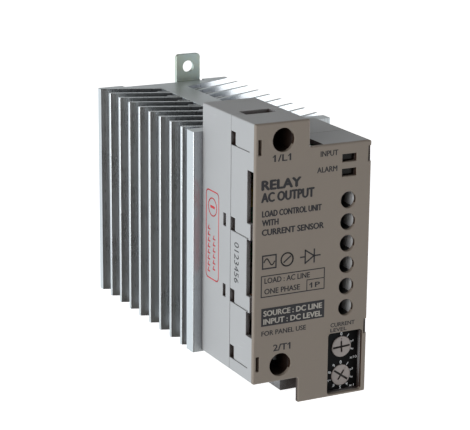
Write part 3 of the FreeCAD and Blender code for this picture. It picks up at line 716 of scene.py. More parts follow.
def metal(name, colour, roughness, across=(3000.0, 3000.0, 40.0), depth=None):
    """A bare or plated metal with lines along its rolling or drawing direction."""
    known = bpy.data.materials.get(name)
    if known:
        return known
    finish = bpy.context.scene.relay_metal
    material, tree, shader = new_material(name)
    lines = place_group(tree, "metal lines", {
        "Colour": rgba(colour), "Across": across, "Roughness": roughness,
        "Depth": finish.line_depth if depth is None else depth})
    worn = place_group(tree, "edge wear", {
        "Colour": lines["Colour"], "Worn Colour": rgba(colour, 1.25), "Amount": 0.3})
    coat(tree, shader, worn["Colour"], lines["Roughness"], lines["Normal"], 1.0)
    return material


# ----------------------------------------------------------------- materials

def case_plastic():
    finish = bpy.context.scene.relay_plastic
    return moulded("case plastic", finish.case_colour, reach=finish.dark_reach)


def facing(tree):
    """The three parts of the way that a surface faces."""
    return split_up(tree, tree.nodes.new("ShaderNodeNewGeometry").outputs["Normal"])


def depth_behind(tree, face):
    """How far a point lies behind a face that looks forwards."""
    return value_node(tree, "SUBTRACT", split_up(tree, object_place(tree))["Y"], face)


def lit_wells(tree, plain):
    """Paints light and shade into the comb's wells: only the right walls near the cover keep the pale colour, as
    painted light, and every other face turns dark, as painted shade.
    """
    lit = remap(tree, facing(tree)["X"], -0.75, -0.45, 1.0, 0.0)
    near = remap(tree, depth_behind(tree, COVER_LOW.y), 6.5 * MM, 9.0 * MM, 1.0, 0.0)
    return mix_colours(tree, scaled(tree, lit, near), WELL_PAINTED_SHADE, plain)


def dark_slots(tree, plain):
    """Paints shade, dark brown, onto the feet and the right walls of the cover's slots."""
    sunk = value_node(tree, "GREATER_THAN", depth_behind(tree, COVER_LOW.y), 0.3 * MM)
    foot = value_node(tree, "LESS_THAN", facing(tree)["Y"], -0.9)
    wall = value_node(tree, "LESS_THAN", facing(tree)["X"], -0.9)
    inside = value_node(tree, "GREATER_THAN", split_up(tree, object_place(tree))["X"],
                        COVER_LOW.x + 0.5 * MM)
    share = scaled(tree, sunk, value_node(tree, "MAXIMUM", foot,
                                          scaled(tree, wall, inside)))
    return mix_colours(tree, share, plain, SLOT_PAINTED_SHADE)


def comb_plastic():
    """The plastic of the terminal comb, with painted shade in its wells but painted light on their right walls."""
    colour = bpy.context.scene.relay_plastic.case_colour
    # The case colour is doubled so that the walls painted as lit come out pale: a painted highlight.
    return moulded("comb plastic", tuple(c * 2 for c in colour), wear=0.0,
                   painted_shading=lit_wells)


def cover_plastic():
    """The plastic of the cover, in a colour darkened with painted shade, and with painted shade, dark brown, at
    the foot of its moulding slots.
    """
    return moulded("cover plastic", bpy.context.scene.relay_plastic.cover_colour,
                   roughness=0.6, wear=0.3, marks=0.12, painted_shading=dark_slots)


def black_plastic():
    return moulded("black plastic", bpy.context.scene.relay_plastic.black_colour,
                   roughness=0.45, cloud=0.2)


def steel():
    return metal("plated steel", bpy.context.scene.relay_metal.steel_colour, 0.3,
                 (900.0, 900.0, 900.0), 0.12)


def tinned():
    return metal("tinned copper", bpy.context.scene.relay_metal.tin_colour, 0.34,
                 (120.0, 1200.0, 1200.0), 0.15)


def anodised_aluminium():
    """Extruded aluminium: die lines up its length, saw marks on its ends, painted shade down in the gaps."""
    finish = bpy.context.scene.relay_metal
    material, tree, shader = new_material("anodised aluminium")
    die = place_group(tree, "metal lines", {
        "Colour": rgba(finish.aluminium_colour), "Across": (2600.0, 2600.0, 12.0),
        "Roughness": 0.29, "Depth": finish.line_depth * 0.1})
    sawn = place_group(tree, "metal lines", {
        "Colour": rgba(finish.aluminium_colour, 0.86), "Across": (120.0, 3400.0, 3400.0),
        "Roughness": 0.42, "Depth": finish.line_depth * 0.8})
    ends = value_node(tree, "GREATER_THAN",
                      value_node(tree, "ABSOLUTE", facing(tree)["Z"], 0.0), 0.9)
    worn = place_group(tree, "edge wear", {
        "Colour": mix_colours(tree, ends, die["Colour"], sawn["Colour"]),
        "Worn Colour": rgba(finish.aluminium_colour, 1.3), "Amount": 0.5})
    # Painted shade: faces down between the fins are darkened where ambient occlusion finds them closed in.
    shaded = mix_colours(tree, 1.0, worn["Colour"], GAP_PAINTED_SHADE, "MULTIPLY")
    shown = mix_colours(tree, open_share(tree, finish.dull_reach, 0.3, 0.85), shaded,
                        worn["Colour"])
    rough = add_node(tree, "ShaderNodeMix", {
        "Factor": ends, "A": die["Roughness"], "B": sawn["Roughness"]})
    normal = add_node(tree, "ShaderNodeMix", {
        "Factor": ends, 4: die["Normal"], 5: sawn["Normal"]}, data_type="VECTOR")
    coat(tree, shader, shown, rough.outputs["Result"], normal.outputs[1], 1.0)
    return material


def zinc_plate():
    """Bright zinc over rolled steel, with a faint blue and straw bloom."""
    finish = bpy.context.scene.relay_metal
    material, tree, shader = new_material("zinc plate")
    rolled = place_group(tree, "metal lines", {
        "Colour": rgba(finish.zinc_colour), "Across": (1500.0, 1500.0, 60.0),
        "Roughness": 0.42, "Depth": finish.line_depth * 0.4})
    bloom = remap(tree, noise(tree, object_place(tree), 130.0, 3.0, 0.6),
                  0.38, 0.62, 0.0, 1.0)
    straw = mix_colours(tree, bloom, (0.93, 0.98, 1.0, 1.0), (1.0, 1.0, 0.9, 1.0))
    toned = mix_colours(tree, 1.0, rolled["Colour"], straw, "MULTIPLY")
    worn = place_group(tree, "edge wear", {
        "Colour": toned, "Worn Colour": (0.8, 0.82, 0.82, 1.0), "Amount": 0.4})
    coat(tree, shader, worn["Colour"], rolled["Roughness"], rolled["Normal"], 1.0)
    return material


def circuit_board():
    """Green solder mask with a faint pattern of tracks under it."""
    known = bpy.data.materials.get("circuit board")
    if known:
        return known
    material, tree, shader = new_material("circuit board")
    flat = add_node(tree, "ShaderNodeMapping", {
        "Rotation": (math.radians(90), 0.0, 0.0), "Vector": object_place(tree)})
    grid = add_node(tree, "ShaderNodeTexBrick", {
        "Scale": 150.0, "Mortar Size": 0.055, "Color1": (0.010, 0.105, 0.038, 1.0),
        "Color2": (0.014, 0.135, 0.050, 1.0), "Mortar": (0.005, 0.060, 0.022, 1.0),
        "Vector": flat.outputs["Vector"]})
    cloud = place_group(tree, "faint marks", {
        "Colour": grid.outputs["Color"], "Mark Colour": (0.05, 0.2, 0.1, 1.0),
        "Amount": 0.3, "Roughness": 0.32})
    coat(tree, shader, cloud["Colour"], cloud["Roughness"],
         bump(tree, grid.outputs["Fac"], 0.3, 0.03 * MM))
    return material


def rotor_plastic():
    """Grey rotor plastic, with painted shade down in the screwdriver slots."""
    finish = bpy.context.scene.relay_plastic
    material, tree, shader = new_material("rotor plastic")
    grain = place_group(tree, "moulded grain", {
        "Colour": rgba(finish.dial_colour), "Cloud": 0.08, "Roughness": 0.5,
        "Grain Size": finish.grain_size, "Grain Depth": finish.grain_depth})
    # Painted shade: faces sunk behind the dial face turn to the dark slot colour.
    depth = depth_behind(tree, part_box("tens_dial")[0].y)
    slot_shade_share = remap(tree, depth, 0.12 * MM, 0.5 * MM, 0.0, 1.0)
    worn = place_group(tree, "edge wear", {
        "Colour": mix_colours(tree, slot_shade_share, grain["Colour"], CROSS_PAINTED_SHADE),
        "Worn Colour": rgba(finish.dial_colour, 1.3), "Amount": 0.3})
    coat(tree, shader, worn["Colour"], grain["Roughness"], grain["Normal"])
    return material


def lamp_window():
    """Smoked lamp window with a clear gloss."""
    finish = bpy.context.scene.relay_plastic
    return moulded("lamp window", finish.lamp_colour, roughness=0.25, cloud=0.3,
                   wear=0.1, marks=0.1, depth=0.03, sheen=0.25)


def ink(name, colour, roughness=0.5):
    """Screen-printed ink with slightly uneven cover."""
    return moulded(name, colour, roughness=roughness, cloud=0.25, wear=0.0, marks=0.15,
                   size=0.00015, depth=0.1, sheen=0.35)


# ------------------------------------------------------------------ printing

def letters(text, size, bold=0.0, align="LEFT"):
    """A bmesh of raised letters in the XY plane, their faces towards +Z."""
    settings = bpy.context.scene.relay_print
    curve = bpy.data.curves.new("letters", "FONT")
    curve.body = text
    curve.size = size
    curve.offset = bold * size
    curve.extrude = settings.ink_height
    curve.resolution_u = 3
    curve.align_x = align
    curve.space_character = 1.0 + bold * 2
    holder = bpy.data.objects.new("letters", curve)
    bpy.context.scene.collection.objects.link(holder)
    bpy.context.view_layer.update()
    mesh = bpy.data.meshes.new_from_object(
        holder.evaluated_get(bpy.context.evaluated_depsgraph_get()))
    bpy.data.objects.remove(holder)
    bpy.data.curves.remove(curve)
    bm = bmesh.new()
    bm.from_mesh(mesh)
    bpy.data.meshes.remove(mesh)
    bmesh.ops.remove_doubles(bm, verts=bm.verts, dist=1e-7)
    return bm


def fitted(text, width, cap, bold=0.0):
    """Letters whose capitals are cap high and whose line is width wide."""
    bm = letters(text, cap / CAP_SHARE, bold)
    xs = [v.co.x for v in bm.verts]
    bmesh.ops.translate(bm, vec=(-min(xs), 0.0, 0.0), verts=bm.verts)
    bmesh.ops.scale(bm, vec=(width / (max(xs) - min(xs)), 1.0, 1.0), verts=bm.verts)
    return bm


def print_line(page, text, x_mm, z_mm, width_mm, cap_mm, bold=0.0):
    """Adds a line of letters to the cover's face; z_mm is the foot of its capitals."""
    shift = (0.035 + bold * 2) * cap_mm
    for x_step, z_step in ((-1, 0), (1, 0), (0, -1), (0, 1)):
        line = fitted(text, width_mm * MM, cap_mm * MM)
        place = from_corner(x_mm + x_step * shift, 0, z_mm + z_step * shift * 0.6)
        place.y -= (x_step + z_step * 2 + 2) * LAYER
        line.transform(Matrix.Translation(place) @ FACE_FRONT)
        join_into(page, line)


def print_bar(page, x0, x1, z0, z1):
    """Adds a filled bar to the cover's face, given in millimetres."""
    height = bpy.context.scene.relay_print.ink_height
    low = from_corner(x0, 0, z0) - Vector((0, height, 0))
    add_box(page, low, from_corner(x1, 0, z1) + Vector((0, height, 0)))


def print_frame(page, x0, x1, z0, z1, line=0.35):
    """Adds an outlined box to the cover's face."""
    print_bar(page, x0, x1, z0, z0 + line)
    print_bar(page, x0, x1, z1 - line, z1)
    print_bar(page, x0, x0 + line, z0 + line, z1 - line)
    print_bar(page, x1 - line, x1, z0 + line, z1 - line)


def print_path(page, points, line=0.45, closed=False):
    """Adds a printed stroke through points, each in millimetres on the face."""
    height = bpy.context.scene.relay_print.ink_height
    ends = points + points[:1] if closed else points
    for (x0, z0), (x1, z1) in zip(ends, ends[1:]):
        reach = math.hypot(x1 - x0, z1 - z0) + line * 0.8
        middle_at = from_corner((x0 + x1) / 2, 0, (z0 + z1) / 2)
        turn = Matrix.Rotation(-math.atan2(z1 - z0, x1 - x0), 4, "Y")
        size = Matrix.Diagonal((reach * MM, height * 2, line * MM, 1.0))
        bmesh.ops.create_cube(page, size=1.0,
                              matrix=Matrix.Translation(middle_at) @ turn @ size)


# ----------------------------------------------------------------- operators

class RELAY_OT_housing(bpy.types.Operator):
    """Make the base, the case, the control terminal block and the front cover"""

    bl_idname = "relay.housing"
    bl_label = "Housing"

    def execute(self, context):
        finish = context.scene.relay_plastic
        width = finish.edge_radius
        plastic = case_plastic()
        rounded_piece("base_shell", "base_housing", width, "case_grey", plastic)
        rounded_piece("case_shell", "front_case", width, "case_grey", plastic)
        rounded_piece("terminal_comb", "control_block", width, "case_grey",
                      comb_plastic())
        rounded_piece("cover_plate", "front_cover", width * 0.6, "cover_grey",
                      cover_plastic())
        return {"FINISHED"}


class RELAY_OT_heat_sink(bpy.types.Operator):
    """Make the finned heat sink"""

    bl_idname = "relay.heat_sink"
    bl_label = "Heat sink"

    def execute(self, context):
        width = context.scene.relay_metal.edge_radius
        rounded_piece("finned_extrusion", "heat_sink", width, "anodised_aluminium",
                      anodised_aluminium(), segments=1)
        return {"FINISHED"}


def threaded_screw(name, node, shank_mm, head_mm, pitch, head_first=True):
    """A screw that stands for a CAD node: rounded head, thin core and a real thread."""
    core = bpy.context.scene.relay_screws.core_share
    bm = clean_copy(node)
    round_edges(bm, 0.05 * MM, 1)
    shank = shank_mm * MM
    threads = []
    for group in islands(bm):
        xs = [v.co.x for v in group]
        ys = [v.co.y for v in group]
        zs = [v.co.z for v in group]
        x = (min(xs) + max(xs)) / 2
        z = (min(zs) + max(zs)) / 2
        seat = min(ys) + head_mm * MM if head_first else max(ys) - head_mm * MM
        end = max(ys) if head_first else min(ys)
        for vert in group:
            past = vert.co.y > seat - MERGE if head_first else vert.co.y < seat + MERGE
            if past and math.hypot(vert.co.x - x, vert.co.z - z) < shank * 1.05:
                vert.co.x = x + (vert.co.x - x) * core
                vert.co.z = z + (vert.co.z - z) * core
        threads.append((x, z, min(seat, end), max(seat, end)))
    wire = shank * (1 - core) * 0.62
    for x, z, y0, y1 in threads:
        room = (y1 - y0) - 2 * pitch
        join_into(bm, grown(tree_named("wound wire", helix_tree), {
            "Radius": shank - wire, "Height": room, "Turns": room / pitch,
            "Wire Radius": wire, "Wire Sides": 5,
            "Turn": (math.radians(-90), 0.0, 0.0),
            "Place": (x, y0 + pitch, z)}))
    mesh = finish_mesh(bm, name)
    return add_piece(name, mesh, body_of(node), "steel_screw", steel(), node)


class RELAY_OT_bracket(bpy.types.Operator):
    """Make the mounting bracket, its screws, the rail lock and its spring"""

    bl_idname = "relay.bracket"
    bl_label = "Bracket and rail lock"

    def execute(self, context):
        width = context.scene.relay_metal.edge_radius
        zinc = zinc_plate()
        rounded_piece("bracket_plate", "mounting_bracket", width, "zinc_plate", zinc)
        threaded_screw("bracket_fixings", "bracket_screws", 2.0, 2.0, 0.7 * MM,
                       head_first=False)
        self.make_lock(zinc, width)
        self.make_spring(context)
        return {"FINISHED"}

    def make_lock(self, zinc, width):
        """The sliding lock, with grip ribs pressed across its pull end."""
        low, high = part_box("rail_lock")
        bm = clean_copy("rail_lock")
        round_edges(bm, width)
        join_into(bm, grown(tree_named("rows of studs", rows_tree), {
            "Across": 1, "Along": 5, "Width": 0.0, "Length": 4.4 * MM,
            "Foot": 0.5 * MM, "Head": 0.3 * MM, "Height": 0.3 * MM, "Sides": 4,
            "Stretch": (3.6, 0.7, 1.0),
            "Turn": (math.radians(90), 0.0, 0.0),
            "Place": ((low.x + high.x) / 2, high.y + 0.15 * MM, low.z + 6.4 * MM)}))
        add_piece("lock_slide", finish_mesh(bm, "lock_slide"), "rail_lock", "zinc_plate",
                  zinc, "rail_lock")

    def make_spring(self, context):
        """The lock's coil spring."""
        low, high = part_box("lock_spring")
        wire = 0.13 * MM
        bm = grown(tree_named("wound wire", helix_tree), {
            "Radius": (high.x - low.x) / 2 - wire,
            "Height": high.z - low.z - 2 * wire,
            "Turns": float(context.scene.relay_screws.spring_turns),
            "Wire Radius": wire, "Wire Sides": 10,
            "Place": ((low.x + high.x) / 2, (low.y + high.y) / 2, low.z + wire)})
        coil = add_piece("lock_coil", finish_mesh(bm, "lock_coil"), "relay",
                         "steel_screw", steel(), "lock_spring")
        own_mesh(coil)


class RELAY_OT_terminals(bpy.types.Operator):
    """Make the load and control terminals"""

    bl_idname = "relay.terminals"
    bl_label = "Terminals"

    def execute(self, context):
        screws = context.scene.relay_screws
        for node in ("line_screw", "load_screw"):
            threaded_screw(node + "_piece", node, 2.5, 3.0, screws.load_pitch)
        for node in CONTROL_SCREWS:
            threaded_screw(node + "_piece", node, 1.5, 2.0, screws.control_pitch)
        rounded_piece("clamp_plates", "wire_clamps", 0.1 * MM, "steel_screw", steel())
        rounded_piece("square_washers", "control_washers", 0.08 * MM, "steel_screw",
                      steel())
        for node in ("line_busbar", "load_busbar", "control_contacts"):
            rounded_piece(node + "_strip", node, 0.06 * MM, "tinned_copper", tinned())
        return {"FINISHED"}


class RELAY_OT_switches(bpy.types.Operator):
    """Make the two rotary switches and their printed scale"""

    bl_idname = "relay.switches"
    bl_label = "Rotary switches"

    def execute(self, context):
        settings = context.scene.relay_print
        plastic = rotor_plastic()
        for node in ("tens_dial", "units_dial"):
            rounded_piece(node + "_rotor", node, 0.05 * MM, "dial_grey", plastic)
        black = black_plastic()
        rounded_piece("scale_card", "scale_plate", 0.03 * MM, "black_plastic",
                      moulded("card black", (0.003, 0.003, 0.003), 0.6, sheen=0.15))
        dress("switch_bodies", black)
        dress("switch_board", circuit_board())
        page = bmesh.new()
        self.ring(page, "units_dial", range(10), settings)
        self.ring(page, "tens_dial", range(4), settings)
        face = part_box("scale_plate")[0].y
        for node, text, width in (("tens_dial", "x10", 2.9), ("units_dial", "x1", 2.0)):
            line = fitted(text, width * MM, 0.95 * MM, 0.01)
            centre = self.centre(node)
            line.transform(Matrix.Translation((centre.x + 3.6 * MM, face,
                                               centre.z - 5.1 * MM)) @ FACE_FRONT)
            join_into(page, line)
        add_piece("scale_digits", finish_mesh(page, "scale_digits"), "relay",
                  "black_plastic", ink("white ink", settings.white_ink))
        return {"FINISHED"}

    def centre(self, node):
        """The axis of a rotor, from its joint."""
        joint = [j for j in frame["joints"] if j["name"] == node + "_turn"][0]
        return Vector(joint["pos_m"])

    def ring(self, page, node, digits, settings):
        """Prints digits clockwise round a rotor, each with its foot to the middle."""
        centre = self.centre(node)
        centre.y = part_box("scale_plate")[0].y
        for digit in digits:
            mark = letters(str(digit), settings.digit_size / CAP_SHARE, 0.02, "CENTER")
            turn = Matrix.Rotation(math.radians(36.0 * digit), 4, "Y")
            lift = Matrix.Translation((0, 0, settings.digit_radius
                                       - settings.digit_size / 2))
            mark.transform(Matrix.Translation(centre) @ turn @ lift @ FACE_FRONT)
            join_into(page, mark)


class RELAY_OT_lamps(bpy.types.Operator):
    """Make the two signal lamps"""

    bl_idname = "relay.lamps"
    bl_label = "Signal lamps"

    def execute(self, context):
        window = lamp_window()
        for node in ("input_lamp", "alarm_lamp"):
            rounded_piece(node + "_window", node, 0.06 * MM, "lamp_lens", window)
        return {"FINISHED"}


class RELAY_OT_legends(bpy.types.Operator):
    """Print the words, boxes and symbols on the front cover"""

    bl_idname = "relay.legends"
    bl_label = "Cover printing"

    def execute(self, context):
        settings = context.scene.relay_print
        page = bmesh.new()
        self.words(page)
        self.boxes(page)
        self.symbols(page)
        add_piece("cover_printing", finish_mesh(page, "cover_printing"), "relay",
                  "cover_grey", ink("dark ink", settings.dark_ink))
        self.block(settings)
        return {"FINISHED"}

    def words(self, page):
        """Words, each with its left end, foot, width and height of capitals."""
        print_line(page, "1/L1", 7.0, 86.9, 6.2, 2.3)
        print_line(page, "2/T1", 7.6, 20.4, 6.6, 2.3)
        print_line(page, "INPUT", 24.6, 86.8, 6.7, 1.9)
        print_line(page, "ALARM", 23.4, 81.3, 7.7, 1.9)
        print_line(page, "RELAY", 2.5, 77.6, 14.6, 3.2, 0.03)
        print_line(page, "AC OUTPUT", 2.4, 73.4, 19.9, 3.2, 0.02)
        print_line(page, "LOAD CONTROL UNIT", 2.7, 68.3, 22.6, 2.1, 0.014)
        print_line(page, "WITH", 2.7, 65.2, 6.1, 2.1, 0.014)
        print_line(page, "CURRENT SENSOR", 2.7, 61.9, 23.6, 2.1, 0.014)
        print_line(page, "LOAD : AC LINE", 3.9, 45.0, 17.4, 1.9)
        print_line(page, "ONE PHASE", 3.9, 41.2, 13.6, 1.9)
        print_line(page, "1P", 21.9, 41.2, 3.4, 1.8)
        print_line(page, "FOR PANEL USE", 3.0, 26.4, 17.2, 1.7)
        print_line(page, "CURRENT", 30.0, 25.6, 9.6, 1.45)
        print_line(page, "LEVEL", 30.0, 23.8, 6.4, 1.3)
        for x, z in ((7.2, 89.1), (12.95, 89.1), (13.95, 22.6), (22.1, 42.9)):
            print_path(page, [(x, z), (x - 0.75, z - 0.65)], 0.32)

    def boxes(self, page):
        """The outlined box of load data, with its small inner box."""
        print_frame(page, 2.5, 27.2, 40.1, 47.8)
        print_bar(page, 20.1, 20.4, 40.4, 44.3)
        print_bar(page, 20.4, 26.9, 44.0, 44.3)

    def symbols(self, page):
        """Plain circuit signs: a wave in a box, a closed switch and a diode."""
        print_frame(page, 2.8, 8.4, 50.0, 55.0, 0.5)
        wave = [(3.6 + i * 0.4, 52.5 + 1.2 * math.sin(i * math.pi / 5)) for i in range(11)]
        print_path(page, wave, 0.42)
        ring = [(12.4 + 2.3 * math.cos(i * math.pi / 10),
                 52.5 + 2.3 * math.sin(i * math.pi / 10)) for i in range(20)]
        print_path(page, ring, 0.5, closed=True)
        print_path(page, [(11.2, 51.6), (13.7, 53.5)], 0.5)
        print_path(page, [(17.6, 52.5), (19.4, 52.5)], 0.5)
        print_path(page, [(19.4, 50.2), (19.4, 54.8), (22.8, 52.5)], 0.5, closed=True)
        print_path(page, [(22.9, 50.2), (22.9, 54.8)], 0.5)
        print_path(page, [(22.9, 52.5), (25.2, 52.5)], 0.5)

    def block(self, settings):
        """The filled block, with its pale words on it."""
        block = bmesh.new()
        print_bar(block, 2.8, 27.3, 29.8, 36.2)
        add_piece("printed_block", finish_mesh(block, "printed_block"), "relay",
                  "cover_grey", ink("block ink", settings.dark_ink))
        page = bmesh.new()
        print_line(page, "SOURCE : DC LINE", 3.7, 33.4, 22.6, 1.9, 0.012)
        print_line(page, "INPUT : DC LEVEL", 3.7, 30.5, 22.6, 1.9, 0.012)
        bmesh.ops.translate(page, vec=(0, -settings.ink_height, 0), verts=page.verts)
        add_piece("block_words", finish_mesh(page, "block_words"), "relay",
                  "cover_grey", ink("pale ink", settings.pale_ink))


class RELAY_OT_side_print(bpy.types.Operator):
    """Print the red mark and the count of digits on the left side"""

    bl_idname = "relay.side_print"
    bl_label = "Side printing"

    def execute(self, context):
        settings = context.scene.relay_print
        height = settings.ink_height
        page = bmesh.new()
        self.frame_mark(page, height)
        add_piece("side_mark", finish_mesh(page, "side_mark"), "relay", "case_grey",
                  ink("red ink", settings.red_ink))
        line = letters("0123456", 4.7 * MM, 0.0)
        xs = [v.co.x for v in line.verts]
        bmesh.ops.scale(line, vec=(14.5 * MM / (max(xs) - min(xs)), 1, 1),
                        verts=line.verts)
        line.transform(Matrix.Translation(from_corner(0, 14.8, 56.6)) @ FACE_LEFT_DOWN)
        add_piece("side_digits", finish_mesh(line, "side_digits"), "relay", "case_grey",
                  ink("dark ink", settings.dark_ink))
        return {"FINISHED"}

    def frame_mark(self, page, height):
        """A long red frame with rounded corners and plain bars inside it."""
        y0, y1, z0, z1, corner = 26.9, 36.6, 38.2, 70.1, 1.6
        outline = []
        for cy, cz, start in ((y1 - corner, z1 - corner, 0), (y0 + corner, z1 - corner, 90),
                              (y0 + corner, z0 + corner, 180),
                              (y1 - corner, z0 + corner, 270)):
            for step in range(5):
                angle = math.radians(start + step * 22.5)
                outline.append((cy + corner * math.cos(angle),
                                cz + corner * math.sin(angle)))
        self.stroke(page, outline, 0.45, height, closed=True)
        for y, foot, top in ((34.2, 40.6, 58.4), (30.2, 42.0, 57.0)):
            for step in range(int((top - foot) / 2.2)):
                low = foot + step * 2.2
                self.stroke(page, [(y - 0.7, low), (y + 0.9, low)], 0.5, height)
                self.stroke(page, [(y + 0.9, low), (y + 0.2, low + 1.3)], 0.45, height)
        badge = [(31.7 + 3.2 * math.cos(math.radians(a)),
                  64.4 + 3.2 * math.sin(math.radians(a))) for a in range(0, 360, 20)]
        self.stroke(page, badge, 0.45, height, closed=True)
        self.stroke(page, [(30.2, 64.4), (33.2, 64.4)], 0.9, height)

    def stroke(self, page, points, line, height, closed=False):
        """A printed stroke on the left side, through points (y, z) in millimetres."""
        ends = points + points[:1] if closed else points
        for (y0, z0), (y1, z1) in zip(ends, ends[1:]):
            reach = math.hypot(y1 - y0, z1 - z0) + line * 0.5
            turn = Matrix.Rotation(math.atan2(z1 - z0, y1 - y0), 4, "X")
            size = Matrix.Diagonal((height * 2, reach * MM, line * MM, 1.0))
            where = from_corner(0, (y0 + y1) / 2, (z0 + z1) / 2)
            bmesh.ops.create_cube(page, size=1.0,
                                  matrix=Matrix.Translation(where) @ turn @ size)


class RELAY_OT_boards(bpy.types.Operator):
    """Finish the boards, the power parts and the components inside"""

    bl_idname = "relay.boards"
    bl_label = "Boards and power parts"

    def execute(self, context):
        metals = context.scene.relay_metal
        board = circuit_board()
        for node in ("main_board", "control_board"):
            dress(node, board)
        black = black_plastic()
        for node in ("power_module", "photocouplers", "board_header", "alarm_chip"):
            dress(node, black)
        dress("thermal_plate", metal("bare copper", metals.copper_colour, 0.3))
        dress("thermal_pad", moulded("thermal grease", (0.62, 0.62, 0.60), 0.7, 0.15,
                                     size=0.0005, depth=0.4))
        dress("snubber_capacitor", moulded("yellow film case", (0.55, 0.34, 0.03), 0.35))
        blue = moulded("blue epoxy", (0.02, 0.07, 0.28), 0.3, 0.15)
        dress("surge_absorber", blue)
        dress("drive_resistors", blue)
        threaded_screw("housing_fixings", "housing_screws", 1.75, 2.0, 0.7 * MM)
        self.make_transformer(metals, black)
        self.make_joints()
        return {"FINISHED"}

    def make_transformer(self, metals, black):
        """The ring round the load busbar, with its fine winding on top."""
        low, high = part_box("current_transformer")
        dress("current_transformer", black)
        wire = 0.16 * MM
        bm = grown(tree_named("wound wire", helix_tree), {
            "Radius": (high.x - low.x) / 2 + wire * 0.6, "Height": 4.2 * MM,
            "Turns": 12.0, "Wire Radius": wire, "Wire Sides": 6, "Steps": 48,
            "Place": ((low.x + high.x) / 2, (low.y + high.y) / 2,
                      (low.z + high.z) / 2 - 2.1 * MM)})
        add_piece("transformer_winding", finish_mesh(bm, "transformer_winding"),
                  "relay", "copper_plate", metal("enamelled wire",
                                                 metals.copper_colour, 0.25))

    def make_joints(self):
        """Solder joints in rows on the backs of the two boards."""
        solder = tinned()
        page = bmesh.new()
        for node, across, along in (("main_board", 7, 9), ("control_board", 4, 13)):
            low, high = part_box(node)
            join_into(page, grown(tree_named("rows of studs", rows_tree), {
                "Across": across, "Along": along,
                "Width": (high.x - low.x) * 0.8, "Length": (high.z - low.z) * 0.86,
                "Foot": 0.6 * MM, "Head": 0.2 * MM, "Height": 0.4 * MM, "Sides": 10,
                "Turn": (math.radians(90), 0.0, 0.0),
                "Place": ((low.x + high.x) / 2, high.y, (low.z + high.z) / 2)}))
        add_piece("solder_joints", finish_mesh(page, "solder_joints"), "relay",
                  "tinned_copper", solder)


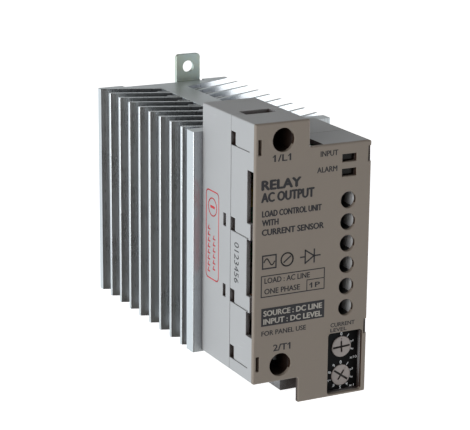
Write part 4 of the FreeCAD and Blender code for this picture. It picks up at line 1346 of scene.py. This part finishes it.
class RELAY_OT_stage(bpy.types.Operator):
    """Make the floor, the soft light and the camera"""

    bl_idname = "relay.stage"
    bl_label = "Stage"

    def execute(self, context):
        settings = context.scene.relay_stage
        self.make_floor(settings)
        self.make_sky(context.scene, settings)
        self.make_light("left_light", (-0.82, -0.55, 0.15), settings.key_power)
        self.make_light("right_light", (0.9, -0.1, 0.1), settings.fill_power)
        self.make_camera(context.scene, settings)
        context.scene.view_settings.view_transform = "Standard"
        return {"FINISHED"}

    def make_floor(self, settings):
        """A plain pale floor under the relay."""
        half = settings.floor_side / 2
        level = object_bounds()[0].z
        bm = bmesh.new()
        corners = [bm.verts.new((x, y, level))
                   for x, y in ((-half, -half), (half, -half), (half, half), (-half, half))]
        bm.faces.new(corners)
        mesh = bpy.data.meshes.new("floor")
        bm.to_mesh(mesh)
        bm.free()
        material, tree, shader = new_material("pale floor")
        tone = remap(tree, noise(tree, object_place(tree), 3.0), 0.3, 0.7, 0.0, 1.0)
        paint = mix_colours(tree, tone, (0.80, 0.80, 0.80, 1.0), (0.82, 0.82, 0.82, 1.0))
        feed(tree, shader.inputs["Base Color"], paint)
        shader.inputs["Roughness"].default_value = 0.9
        shader.inputs["Emission Color"].default_value = (1.0, 1.0, 1.0, 1.0)
        shader.inputs["Emission Strength"].default_value = 0.9
        mesh.materials.append(material)
        floor = bpy.data.objects.new("floor", mesh)
        bpy.context.scene.collection.objects.link(floor)
        floor.visible_glossy = False
        floor.visible_diffuse = False
        floor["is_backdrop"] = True

    def make_sky(self, scene, settings):
        """Soft surroundings, bright at the sides and behind, dim to the front left."""
        world = bpy.data.worlds.new("studio")
        world.use_nodes = True
        scene.world = world
        tree = world.node_tree
        sky = tree.nodes["Background"]
        way = tree.nodes.new("ShaderNodeTexCoord").outputs["Generated"]
        split = split_up(tree, way)
        toward = vector_node(tree, "DOT_PRODUCT", way, DIM_SIDE).node.outputs["Value"]
        front = remap(tree, toward, 0.55, 0.95, 1.0, 0.06)
        above = remap(tree, split["Z"], 0.15, 0.6, 1.0, 0.06)
        right = remap(tree, split["X"], 0.55, 0.9, 1.0, 1.1)
        level = scaled(tree, front, scaled(tree, above, right))
        tint = mix_colours(tree, level, (1.0, 0.93, 0.85, 1.0), (0.90, 0.965, 1.0, 1.0))
        lit = vector_node(tree, "SCALE", tint, (0.0, 0.0, 0.0))
        feed(tree, lit.node.inputs["Scale"], level)
        seen = tree.nodes.new("ShaderNodeLightPath")
        shown = mix_colours(tree, seen.outputs["Is Camera Ray"], lit,
                            (1.0, 1.0, 1.0, 1.0))
        feed(tree, sky.inputs["Color"], shown)
        sky.inputs["Strength"].default_value = settings.sky_strength

    def make_light(self, name, place, power):
        """A large soft light that faces the relay."""
        lamp = bpy.data.lights.new(name, "AREA")
        lamp.shape = "RECTANGLE"
        lamp.size = 0.7
        lamp.size_y = 0.9
        lamp.energy = power
        light = bpy.data.objects.new(name, lamp)
        light.location = place
        aim = middle("front_case") - Vector(place)
        light.rotation_euler = aim.to_track_quat("-Z", "Y").to_euler()
        bpy.context.scene.collection.objects.link(light)

    def make_camera(self, scene, settings):
        """A long-lens camera to the left of the front, looking slightly down."""
        lens = bpy.data.cameras.new("camera")
        lens.lens = settings.lens
        lens.sensor_width = 36.0
        lens.clip_start = 0.01
        camera = bpy.data.objects.new("camera", lens)
        scene.collection.objects.link(camera)
        camera.matrix_world = (
            Matrix.Translation(settings.camera_place)
            @ Matrix.Rotation(-settings.camera_turn, 4, "Z")
            @ Matrix.Rotation(math.pi / 2 - settings.camera_dip, 4, "X")
            @ Matrix.Rotation(settings.camera_roll, 4, "Z"))
        scene.camera = camera


class RELAY_PT_panel(bpy.types.Panel):
    """The relay's operators and sizes"""

    bl_label = "Solid state relay"
    bl_idname = "RELAY_PT_panel"
    bl_space_type = "VIEW_3D"
    bl_region_type = "UI"
    bl_category = "Relay"

    def draw(self, context):
        for operator in OPERATORS:
            self.layout.operator(operator.bl_idname)
        for label in SETTINGS:
            group = getattr(context.scene, label)
            column = self.layout.column()
            for name in group.__annotations__:
                column.prop(group, name)


SETTINGS = {
    "relay_plastic": PlasticFinish,
    "relay_metal": MetalFinish,
    "relay_print": PrintSettings,
    "relay_screws": ScrewSettings,
    "relay_stage": StageSettings,
}

OPERATORS = (
    RELAY_OT_housing,
    RELAY_OT_heat_sink,
    RELAY_OT_bracket,
    RELAY_OT_terminals,
    RELAY_OT_switches,
    RELAY_OT_lamps,
    RELAY_OT_legends,
    RELAY_OT_side_print,
    RELAY_OT_boards,
    RELAY_OT_stage,
)


def register():
    for label, group in SETTINGS.items():
        bpy.utils.register_class(group)
        setattr(bpy.types.Scene, label, PointerProperty(type=group))
    for operator in OPERATORS:
        bpy.utils.register_class(operator)
    bpy.utils.register_class(RELAY_PT_panel)


def unregister():
    bpy.utils.unregister_class(RELAY_PT_panel)
    for operator in reversed(OPERATORS):
        bpy.utils.unregister_class(operator)
    for label, group in SETTINGS.items():
        delattr(bpy.types.Scene, label)
        bpy.utils.unregister_class(group)


def main():
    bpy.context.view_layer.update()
    register()
    bpy.ops.relay.housing()
    bpy.ops.relay.heat_sink()
    bpy.ops.relay.bracket()
    bpy.ops.relay.terminals()
    bpy.ops.relay.switches()
    bpy.ops.relay.lamps()
    bpy.ops.relay.legends()
    bpy.ops.relay.side_print()
    bpy.ops.relay.boards()
    bpy.ops.relay.stage()


if __name__ == "__main__":
    main()
